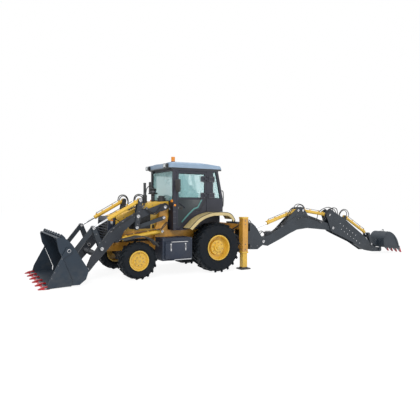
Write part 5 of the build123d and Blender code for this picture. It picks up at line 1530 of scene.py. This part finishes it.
@dataclass
class FrontTrim:
    """Mesh and lamps of the nose, fender bolts, steps, and what shows under the machine."""

    latches: Flat = (1376.0, 974.0)

    def nose(self) -> None:
        """Fills the nose's slots with mesh and its recesses with lamps."""
        piece = Piece("nose_trim", "chassis")
        piece.box((2706, -400, 905), (2712, 400, 1420), Finish.MESH, 0)
        for row in range(7):
            z = 925 + row * 68
            for lip in (z + 0.5, z + 43.5):
                x = 2762 + max(0.0, min(1.0, (lip - 1010) / 140)) * 28 - max(0.0, lip - 1150) * 0.048
                piece.tube([spot(x, -388, lip), spot(x, 388, lip)], 4, Finish.SEAL, 6, soft=False)
        for out in (1, -1):
            piece.box((2660, out * 415, 1314), (2720, out * 446, 1416), Finish.CLEAR, 6)
            piece.box((2656, out * 440, 1380), (2724, out * 451, 1419), Finish.AMBER, 4)
            for z in (890, 1100, 1290):
                piece.bolt(spot(2680, out * 449.5, z), LEFT * out, 18, height=8)
        piece.lathe(spot(2830, 0, 695), UP, ((0, 24), (8, 24), (10, 15), (110, 15), (112, 24), (122, 24)),
                    Finish.BOLT, 16)
        piece.tube([spot(2830, 0, 815), spot(2830, 30, 850), spot(2830, 0, 878), spot(2830, -30, 850),
                   spot(2830, 0, 815)], 5, Finish.BOLT, 8)
        piece.done()

    def step(self, piece: Piece, out: int) -> None:
        """Puts lid, latches and footboard on one side tank.

        Args:
            piece: the piece that takes them.
            out: 1 on the left, -1 on the right.
        """
        piece.box((849, out * 996, 440), (1524, out * 1034, 838), Finish.TANK, 5)
        piece.box((841, out * 990, 842), (1530, out * 1040, 868), Finish.TANK, 5)
        piece.box((905, out * 1034, 852), (1366, out * 1042.5, 871), Finish.SILVER, 2)
        piece.box((818, out * 1000, 404), (1420, out * 1052, 426), Finish.TANK, 4)
        piece.box((818, out * 1046, 407), (1290, out * 1056, 429), Finish.SILVER, 2)
        for tread in range(20):
            x = 860 + tread * 25
            piece.box((x, out * 1004, 425), (x + 10, out * 1046, 430), Finish.TANK, 0)
        for x in self.latches:
            piece.lathe(spot(x, out * 1033, 806), LEFT * out, ((0, 20), (6, 20), (10, 15), (12, 6)), Finish.PIN, 18)
            piece.slab([(x - 14, 780), (x + 14, 780), (x + 17, 690), (x + 6, 634), (x - 16, 640), (x - 17, 690)],
                       out * 1038, 9, Finish.PIN, 3)
            piece.slab([(x - 9, 770), (x + 9, 770), (x + 9, 700), (x - 9, 700)], out * 1046, 8, Finish.BOLT, 3)
        for z in (500, 620, 740):
            piece.tube([spot(1524, out * 1030, z - 24), spot(1524, out * 1030, z + 24)], 8, Finish.TANK, 8,
                       soft=False)
        piece.studs(product((800, 1562), (440, 920)), out * 999.5, out, 17, 7)

    def build(self) -> None:
        """Builds the nose, the tanks' fittings, the fender bolts and the underside."""
        self.nose()
        piece = Piece("tank_trim", "chassis")
        for out in (1, -1):
            self.step(piece, out)
            for x in (1430, 1540):
                piece.tube([spot(x, out * y, 962) for y in (640, 920)], 7, Finish.TANK, 8, soft=False)
        cap = spot(1490, -820, 958)
        piece.lathe(cap, UP, ((0, 62), (26, 62), (30, 54), (34, 50), (48, 50), (52, 42)), Finish.SEAL, 28)
        for x in (1180, 1450):
            piece.lathe(spot(x, 780, 959), UP, ((0, 26), (10, 26), (13, 18), (16, 8)), Finish.BOLT, 18)
        piece.done()
        piece = Piece("fender_bolts", "chassis")
        for out in (1, -1):
            for z in (832, 850):
                piece.bolt(spot(1752, out * 775, z + 5), UP, 12, height=6)
            for x, z in ((640, 1396), (300, 1556), (0, 1584), (-200, 1583)):
                for y in (620, 655):
                    piece.bolt(spot(x, out * y, z + 2), UP, 14, height=5)
            lip = ((884, 1190), (650, 1405), (430, 1520), (165, 1584), (-204, 1582), (-370, 1529), (-478, 1398))
            piece.bead(lip, out * 1088, 8, Finish.SEAL, 8, True)
            skirt = ((1716, 783), (1783, 863), (1890, 952), (2030, 1015), (2200, 1037), (2596, 963))
            piece.bead(skirt, out * 1069, 8, Finish.BLACK, 8, True)
        piece.done()
        self.under()

    def under(self) -> None:
        """Adds gearbox, drive shafts, steering cylinder, and studs and hubs on the axles."""
        piece = Piece("driveline", "chassis")
        piece.box((1240, -210, 470), (1560, 210, 800), Finish.CASTING, 30)
        piece.box((1180, -150, 420), (1300, 150, 690), Finish.CASTING, 24)
        for start, end, radius in (((1560, 0, 520), (2135, 0, 500), 42), ((1180, 0, 560), (190, 0, 640), 46)):
            a, b = spot(*start), spot(*end)
            run = (b - a).length * 1000
            shape = ((0, radius + 34), (16, radius + 34), (18, radius), (90, radius), (96, radius - 12),
                     (run - 96, radius - 12),
                     (run - 90, radius), (run - 18, radius), (run - 16, radius + 34), (run, radius + 34))
            piece.lathe(a, b - a, shape, Finish.CASTING, 18)
        piece.lathe(spot(2275, -330, 470), LEFT, ((0, 28), (120, 28), (122, 42), (538, 42), (540, 28), (660, 28)),
                    Finish.STACK, 18)
        for out in (1, -1):
            piece.studs(product((2140, 2260), (330, 570)), out * 641, out, 18, 8)
            piece.studs([(165 * c, 654 + 165 * s) for c, s in around(10)], out * 150, out, 22, 10)
            piece.lathe(spot(0, out * 380, 654), LEFT * out, ((0, 112), (70, 112), (76, 102)), Finish.CASTING, 28)
        piece.done()


@dataclass
class ArmTrim:
    """Edge beads, bolts, clamps, collars and blank plates on arms and levers."""

    def build(self) -> None:
        """Builds the loader linkage's trim."""
        piece = Piece("arm_trim", "loader_arms")
        upper = ((1436, 1805), (1749, 1689), (2011, 1653), (2180, 1561), (2539, 1362), (2785, 1174), (3250, 538))
        lower = ((3116, 426), (2539, 1075), (2160, 1390), (1850, 1518), (1400, 1638))
        for out in (1, -1):
            for edge in (upper, lower):
                for y in (562, 648):
                    piece.bead(edge, out * y, 5, Finish.ARM)
            for x, z in ((2180, 1475), (2560, 1245), (2900, 900)):
                piece.lathe(spot(x, out * 649.5, z), LEFT * out, ((0, 10), (2, 10), (3, 6)), Finish.BOLT, 14)
            for x, z in ((2240, 1516), (2480, 1376), (2700, 1224)):
                clamp = [Vector((0.018, 0, -0.011)), LEFT * 0.003, Vector((0.007, 0, 0.012))]
                piece.solid(spot(x, out * 649.5, z), clamp, Finish.BOLT, 1)
            for y in (556, 20):
                collar = ((0, 69), (2, 75), (9, 75), (12, 69))
                piece.lathe(spot(3083, out * y, 600), LEFT * out, collar, Finish.ARM, 26)
        piece.done()
        for name, body, spans in (
            ("lever_trim", "rear_levers", (((2035, 1888), (2092, 1494)), ((2092, 1494), (2122, 1216)))),
            ("guide_trim", "guide_levers", (((2991, 741), (3180, 1238)),)),
        ):
            piece = Piece(name, body)
            for (x0, z0), (x1, z1) in spans:
                for out in (1, -1):
                    for share in (0.3, 0.7):
                        at = spot(x0 + (x1 - x0) * share, out * 674.5, z0 + (z1 - z0) * share)
                        piece.bolt(at, LEFT * out, 20, height=9)
            if body == "rear_levers":
                for out in (1, -1):
                    piece.box((1934, out * 578, 1704), (1994, out * 634, 1728), Finish.BOLT, 4)
            piece.done()


@dataclass
class BucketTrim:
    """Tooth adapters, edge bolts, wear strips and weld beads of both buckets."""

    def loader(self) -> None:
        """Trims the loader bucket and its jaw."""
        piece = Piece("jaw_trim", "bucket_jaw")
        for tooth in range(6):
            y = (tooth - 2.5) * 2262 / 5
            adapter = [(4240, 44), (4250, 72), (4300, 76), (4372, 64), (4372, 56), (4290, 56), (4250, 48)]
            piece.slab(adapter, y, 78, Finish.RED, 4)
            piece.slab([(4230, 10), (4250, 2), (4372, 2), (4372, 12)], y, 70, Finish.RED, 2)
            piece.slab([(4330, 66), (4376, 64), (4452, 30), (4467, 16), (4452, 6), (4330, 6)], y, 69, Finish.RED, 4)
            for shift in (-22, 22):
                piece.bolt(spot(4285, y + shift, 76), UP, 16, height=7)
            piece.lathe(spot(4350, y - 42, 40), LEFT, ((0, 8), (84, 8)), Finish.BOLT, 12)
        for gap in range(5):
            for shift in (-100, 0, 100):
                y = (gap - 2) * 2262 / 5 + shift
                piece.bolt(spot(4318, y, 37), UP, 22, height=9)
        for out in (1, -1):
            cutter = [(3981, 700), (4246, 204), (4290, 40), (4240, 40), (4206, 190), (3960, 650)]
            piece.slab(cutter, out * 1184.5, 5, Finish.JAW, 1)
            piece.studs(((3991, 632), (4066, 492), (4141, 352), (4201, 232)), out * 1183, out, 24, 5)
            piece.lathe(spot(3845, out * 1180, 795), LEFT * out, ((0, 40), (6, 40), (9, 36), (9.5, 12), (8, 10)),
                        Finish.PIN, 28)
        for y in (-700, 0, 700):
            piece.box((3830, y - 40, 20), (4240, y + 40, 32), Finish.JAW, 2)
        piece.done()
        piece = Piece("bucket_trim", "loader_bucket")
        rim = ((4092, 1040), (4045, 800), (3965, 648), (3771, 160))
        for out in (1, -1):
            piece.bead(rim, out * 1150, 7, Finish.BUCKET)
            for x, z in ((3500, 300), (3620, 560), (3760, 800)):
                piece.tube([spot(x, out * 1146, z), spot(x + 60, out * 1146, z + 96)], 6, Finish.BUCKET, 6,
                           soft=False)
        for collar in range(8):
            y = (collar - 3.5) * 2190 / 7
            piece.bolt(spot(3985, y, 1141), UP, 26, Finish.BOLT, 12)
            piece.lathe(spot(3985, y - 31, 1106), LEFT, ((0, 27), (5, 30), (57, 30), (62, 27)), Finish.BUCKET, 20)
        back = ((3484, 170), (3420, 344), (3706, 802), (3812, 958), (3942, 1074))
        for y in (-980, -300, 300, 980):
            piece.tube([spot(x - 6, y, z) for x, z in back], 9, Finish.BUCKET, 6, soft=False)
        for out in (1, -1):
            for y in (540, 670):
                for x, z in ((3452, 396), (3502, 160)):
                    piece.lathe(spot(x + 6, out * y - 12, z), LEFT, ((0, 22), (24, 22)), Finish.BUCKET, 12)
        piece.done()

    def hoe(self) -> None:
        """Trims the backhoe's bucket."""
        piece = Piece("hoe_bucket_trim", "hoe_bucket")
        for tooth in range(4):
            y = HOE_Y + (tooth - 1.5) * 530 / 3
            piece.slab([(-8096, 236), (-8120, 262), (-8180, 256), (-8206, 190), (-8172, 150), (-8112, 140)], y, 72,
                       Finish.HOE_BUCKET, 4)
            piece.lathe(spot(-8165, y - 40, 205), LEFT, ((0, 8), (80, 8)), Finish.BOLT, 12)
        for out in (1, -1):
            y = HOE_Y + out * 306
            piece.slab([(-7905, 600), (-8155, 200), (-8120, 190), (-7880, 560)], y, 14, Finish.HOE_BUCKET, 2)
            piece.studs(((-7935, 520), (-8010, 400), (-8085, 280)), y + out * 6, out, 22, 9)
            piece.bead(((-7300, 560), (-7420, 745), (-7600, 786), (-7890, 632)), HOE_Y + out * 301, 5,
                       Finish.HOE_BUCKET, 6, True)
        piece.bead(((-7560, 800), (-7568, 850), (-7620, 860), (-7650, 800)), 300, 11, Finish.HOE_BUCKET, 8, True)
        for y in (150, 300, 450):
            piece.bead(((-7640, 804), (-7800, 750), (-7920, 645), (-8040, 460), (-8130, 250)), y, 8,
                       Finish.HOE_BUCKET, 6, True)
        piece.done()

    def build(self) -> None:
        """Trims both buckets."""
        self.loader()
        self.hoe()


@dataclass
class RearTrim:
    """Stabilizer collars and pads, clamps of the side shift, hoses at the swing post."""

    x: float = -865.0
    y: float = 945.0

    def posts(self) -> None:
        """Trims the stabilizers and the rails."""
        piece = Piece("rear_trim", "chassis")
        for out in (1, -1):
            y = out * self.y
            for low, high, half in ((455, 500, 94), (1400, 1446, 92)):
                for side_x, side_y in ((half, 0), (-half, 0), (0, half), (0, -half)):
                    wide, deep = (4 if side else half for side in (side_x, side_y))
                    x0, y0 = self.x + side_x, y + side_y
                    piece.box((x0 - wide, y0 - deep, low), (x0 + wide, y0 + deep, high), Finish.YELLOW, 2)
            for z in (560, 700, 1250, 1340):
                for side_x in (-1, 1):
                    piece.bolt(spot(self.x + side_x * 86, y, z), AHEAD * side_x, 22, height=10)
                piece.bolt(spot(self.x, y + out * 86, z), LEFT * out, 22, height=10)
            for line in (((-870, 870, 1380), (-860, 845, 1330), (-840, 700, 1200), (-790, 520, 1100)),
                         ((-845, 870, 1350), (-830, 840, 1290), (-810, 690, 1160), (-770, 515, 1060))):
                piece.tube([spot(x, out * y, z) for x, y, z in line], 11, Finish.HOSE, 10)
            for z in (1120, 1210, 510, 580):
                piece.bolt(spot(-1010, out * 820, z), -AHEAD, 22, height=10)
        piece.done()
        for side, out in SIDES:
            piece = Piece(f"stabilizer_foot_{side}", f"stabilizer_{side}")
            y = out * self.y
            piece.box((self.x - 155, y - 135, 12), (self.x + 155, y + 135, 24), Finish.SEAL, 4)
            for way in (1, -1):
                piece.slab([(self.x + way * 104, 44), (self.x + way * 144, 44), (self.x + way * 106, 76)], y, 16,
                           Finish.DARK, 1)
                for shift in (100, -100):
                    piece.bolt(spot(self.x + way * 118, y + shift, 45), UP, 20, height=9)
            piece.done()

    def build(self) -> None:
        """Trims stabilizers, side shift and kingpost."""
        self.posts()
        piece = Piece("carriage_trim", "side_shift_carriage")
        for out in (1, -1):
            for z in (1215, 500):
                y = HOE_Y + out * 215
                piece.box((-1075, y - 45, z - 45), (-1054, y + 45, z + 45), Finish.DARK, 4)
                for shift in (-26, 26):
                    piece.bolt(spot(-1074, y + shift, z), -AHEAD, 26, height=14)
            for y, z in ((240, 700), (240, 950)):
                piece.bolt(spot(-1055, HOE_Y + out * y, z), -AHEAD, 24, height=12)
        for z in (1070, 620):
            piece.lathe(spot(-1330, 300, z), UP, ((-1, 88), (4, 88), (6, 80), (7, 46)), Finish.DARK, 32)
        for row in range(6):
            y = 175 + row * 50
            piece.lathe(spot(-1054, y, 1150), -AHEAD, ((0, 16), (22, 16), (24, 11), (44, 11)), Finish.BOLT, 10)
        piece.done()
        piece = Piece("kingpost_trim", "kingpost")
        piece.lathe(spot(-1330, 300, 1250), UP, ((-2, 48), (8, 48), (12, 40), (13, 10)), Finish.PIN, 28)
        for out in (1, -1):
            y = HOE_Y + out * 150
            piece.studs(((-1480, 1180), (-1480, 560), (-1700, 560)), y, out, 24, 11)
        piece.done()
        for row in range(4):
            y = 200 + row * 66
            name = f"swing_hose_{row}"
            piece = Piece(name, "side_shift_carriage")
            lift = 24 * (row % 2)
            line = [spot(*p) for p in ((-1100, y, 1150), (-1180, y, 1185 + lift), (-1290, y + 6, 1300 + lift),
                                       (-1400, y + 4, 1310 + lift), (-1480, y, 1270 + lift), (-1520, y, 1190))]
            piece.hose(line, 13)
            piece.done(("kingpost", line[1], line[4]))


@dataclass
class HoeTrim:
    """Edge beads, fittings, wear-pad bolts and clamps along boom and dipper."""

    def build(self) -> None:
        """Builds the trim of boom, dipper and extension."""
        piece = Piece("boom_trim", "boom")
        top = ((-2221, 866), (-2465, 966), (-2846, 1191), (-3240, 1401), (-3500, 1441), (-3780, 1436), (-4120, 1341),
               (-4560, 1191))
        low = ((-2135, 532), (-2594, 708), (-2980, 872), (-3310, 994), (-3741, 1033), (-4263, 985), (-4800, 932))
        for out in (1, -1):
            for edge in (top, low):
                piece.bead(edge, HOE_Y + out * 88, 6, Finish.DARK)
            piece.studs(((-3320, 1460), (-3600, 1500)), HOE_Y + out * 82, out, 22, 10)
            for x, z in ((-2250, 700), (-4700, 1060)):
                piece.lathe(spot(x, HOE_Y + out * 90, z), LEFT * out, ((-1, 10), (5, 10), (7, 5)), Finish.BOLT, 12)
        for row in range(4):
            x = -2150 - row * 52
            for y in (262, 338):
                piece.lathe(spot(x, y, 949), UP, ((0, 17), (16, 17), (18, 12), (34, 12), (36, 8)), Finish.BOLT, 10)
            piece.box((x - 20, 235, 810), (x + 20, 365, 940), Finish.CASTING, 4)
        for x, z in ((-2560, 1060), (-2760, 1178), (-3000, 1330), (-3200, 1440)):
            piece.solid(spot(x, 300, z - 6), [Vector((-0.015, 0, 0.009)), LEFT * 0.055, Vector((0.006, 0, 0.010))],
                        Finish.BOLT, 2)
        for x in (-3500, -3800, -4100):
            z = 1365 if x > -4000 else 1300
            piece.box((x - 16, 388, z - 12), (x + 16, 410, z + 20), Finish.BOLT, 3)
        piece.done()
        piece = Piece("dipper_trim", "dipper")
        slope = (-math.cos(math.radians(29)), -math.sin(math.radians(29)))
        for out in (1, -1):
            for lift, start, stop in ((-70, 0, 7), (130, 0, 6)):
                for bolt in range(start, stop):
                    along = bolt * 175
                    x = -5260 + slope[0] * along - slope[1] * lift * 0.55
                    z = 1010 + slope[1] * along + lift
                    piece.bolt(spot(x, HOE_Y + out * 120.5, z), LEFT * out, 22, Finish.PIN, 9)
            for edge in (((-4746, 1641), (-5017, 1490), (-5444, 1293), (-5846, 1034), (-6460, 657), (-6720, 450)),
                         ((-4800, 900), (-5064, 790), (-5854, 484), (-6430, 179), (-6700, 165))):
                piece.bead(edge, HOE_Y + out * 119, 5, Finish.DARK)
        for y in (250, 350):
            piece.lathe(spot(-5150, y, 1398), UP, ((0, 16), (20, 16), (22, 11), (40, 11)), Finish.BOLT, 10)
        piece.box((-5170, 232, 1398), (-5095, 392, 1408), Finish.DARK, 3)
        piece.done()
        piece = Piece("tongue_trim", "dipper_extension")
        for out in (1, -1):
            for x, z in ((-6900, 200), (-7080, 170), (-6700, 330)):
                piece.lathe(spot(x, HOE_Y + out * 97.5, z), LEFT * out, ((0, 12), (5, 12), (7, 6)), Finish.BOLT, 12)
        for y in (258, 342):
            piece.lathe(spot(-5300, y, 1180), UP, ((0, 17), (40, 17), (42, 12), (84, 12)), Finish.BOLT, 10)
        piece.done()


PALE_RAYS = ("Is Camera Ray", "Is Glossy Ray", "Is Transmission Ray")


@dataclass
class Studio:
    """Camera, floor, backdrop and soft lights."""

    eye: Point = (REAR_AXLE_X + 5.733, 10.335, 1.864)
    yaw: float = 30.121
    pitch: float = 0.993
    roll: float = 0.236
    focal_px: float = 414.93
    centre_px: Flat = (207.616, 208.861)
    frame_px: float = 420.0
    floor_white: float = 0.80
    surround: float = 0.55

    def camera(self) -> None:
        """Sets the camera where the photograph was taken from."""
        data = bpy.data.cameras.new("camera")
        data.sensor_width = 36.0
        data.lens = self.focal_px / self.frame_px * 36.0
        data.shift_x = (self.frame_px / 2 - self.centre_px[0]) / self.frame_px
        data.shift_y = (self.centre_px[1] - self.frame_px / 2) / self.frame_px
        data.clip_end = 200.0
        eye = bpy.data.objects.new("camera", data)
        bpy.context.scene.collection.objects.link(eye)
        yaw, pitch, roll = (math.radians(a) for a in (self.yaw, self.pitch, self.roll))
        ahead = Vector((-math.sin(yaw) * math.cos(pitch), -math.cos(yaw) * math.cos(pitch), -math.sin(pitch)))
        right = Vector((-math.cos(yaw), math.sin(yaw), 0.0))
        up = right.cross(ahead)
        turned_right = right * math.cos(roll) + up * math.sin(roll)
        turned_up = up * math.cos(roll) - right * math.sin(roll)
        basis = Matrix((turned_right, turned_up, -ahead)).transposed().to_4x4()
        eye.matrix_world = Matrix.Translation(self.eye) @ basis
        bpy.context.scene.camera = eye

    def backdrop(self) -> None:
        """Lays the pale floor, and gives the camera a white surround."""
        mesh = bpy.data.meshes.new("floor")
        half = 60.0
        mesh.from_pydata([(-half, -half, 0), (half, -half, 0), (half, half, 0), (-half, half, 0)], [], [(0, 1, 2, 3)])
        floor = bpy.data.objects.new("floor", mesh)
        bpy.context.scene.collection.objects.link(floor)
        g = Graph("floor_card")
        rays = [g.node("ShaderNodeLightPath", {}, {}, name) for name in PALE_RAYS]
        seen = rays[0] + rays[1] + rays[2]
        g.feed("Base Color", (0.86, 0.87, 0.88))
        g.feed("Roughness", 0.9)
        white = g.tree.nodes.new("ShaderNodeEmission")
        white.inputs[0].default_value = (1.0, 1.0, 1.0, 1.0)
        white.inputs[1].default_value = 1.13
        blend = g.tree.nodes.new("ShaderNodeMixShader")
        g.tree.links.new((seen * self.floor_white).socket, blend.inputs[0])
        g.tree.links.new(g.shader.outputs[0], blend.inputs[1])
        g.tree.links.new(white.outputs[0], blend.inputs[2])
        end = next(n for n in g.tree.nodes if n.type == "OUTPUT_MATERIAL")
        g.tree.links.new(blend.outputs[0], end.inputs[0])
        mesh.materials.append(g.material)

    def world(self) -> None:
        """A soft even surround, white to the camera."""
        world = bpy.data.worlds.new("surround")
        bpy.context.scene.world = world
        world.use_nodes = True
        tree = world.node_tree
        tree.nodes.clear()
        soft = tree.nodes.new("ShaderNodeBackground")
        soft.inputs[0].default_value = (0.93, 0.96, 1.0, 1.0)
        soft.inputs[1].default_value = self.surround
        white = tree.nodes.new("ShaderNodeBackground")
        white.inputs[0].default_value = (1.0, 1.0, 1.0, 1.0)
        path = tree.nodes.new("ShaderNodeLightPath")
        blend = tree.nodes.new("ShaderNodeMixShader")
        end = tree.nodes.new("ShaderNodeOutputWorld")
        seen = path.outputs[PALE_RAYS[0]]
        for name in PALE_RAYS[1:]:
            either = tree.nodes.new("ShaderNodeMath")
            either.operation = "MAXIMUM"
            tree.links.new(seen, either.inputs[0])
            tree.links.new(path.outputs[name], either.inputs[1])
            seen = either.outputs[0]
        tree.links.new(seen, blend.inputs[0])
        tree.links.new(soft.outputs[0], blend.inputs[1])
        tree.links.new(white.outputs[0], blend.inputs[2])
        tree.links.new(blend.outputs[0], end.inputs[0])

    def lamps(self) -> None:
        """Hangs the large soft lamps."""
        table = (
            # name, place, aim, size, power
            ("key", (10.0, 10.0, 10.0), (0.5, 0.0, 1.0), 6.0, 1100.0),
            ("fill", (-7.0, 13.0, 5.0), (-1.0, 0.0, 1.0), 7.0, 420.0),
            ("top", (-1.0, -2.0, 12.0), (0.0, 0.0, 0.0), 9.0, 600.0),
        )
        for name, place, aim, size, power in table:
            data = bpy.data.lights.new(name, "AREA")
            data.shape = "DISK"
            data.size = size
            data.energy = power
            lamp = bpy.data.objects.new(name, data)
            bpy.context.scene.collection.objects.link(lamp)
            towards = Vector(aim) - Vector(place)
            lamp.matrix_world = Matrix.Translation(place) @ towards.to_track_quat("-Z", "Y").to_matrix().to_4x4()

    def build(self) -> None:
        """Sets up camera, floor, surround and lamps."""
        self.camera()
        self.backdrop()
        self.world()
        self.lamps()


def main() -> None:
    """Builds the machine's looks in order."""
    logging.basicConfig(level=logging.INFO, format="%(message)s")
    bpy.context.scene.view_settings.view_transform = "Standard"
    Studio().build()
    Solids().dress()
    groups = (
        WheelTrim(), PinTrim(), RamTrim(), Hoses(), CabTrim(), CabInside(), Seat(), HoodTrim(), FrontTrim(),
        ArmTrim(), BucketTrim(), RearTrim(), HoeTrim(),
    )
    for group in groups:
        group.build()
        LOG.info("finished %s", type(group).__name__)


if __name__ == "__main__":
    main()
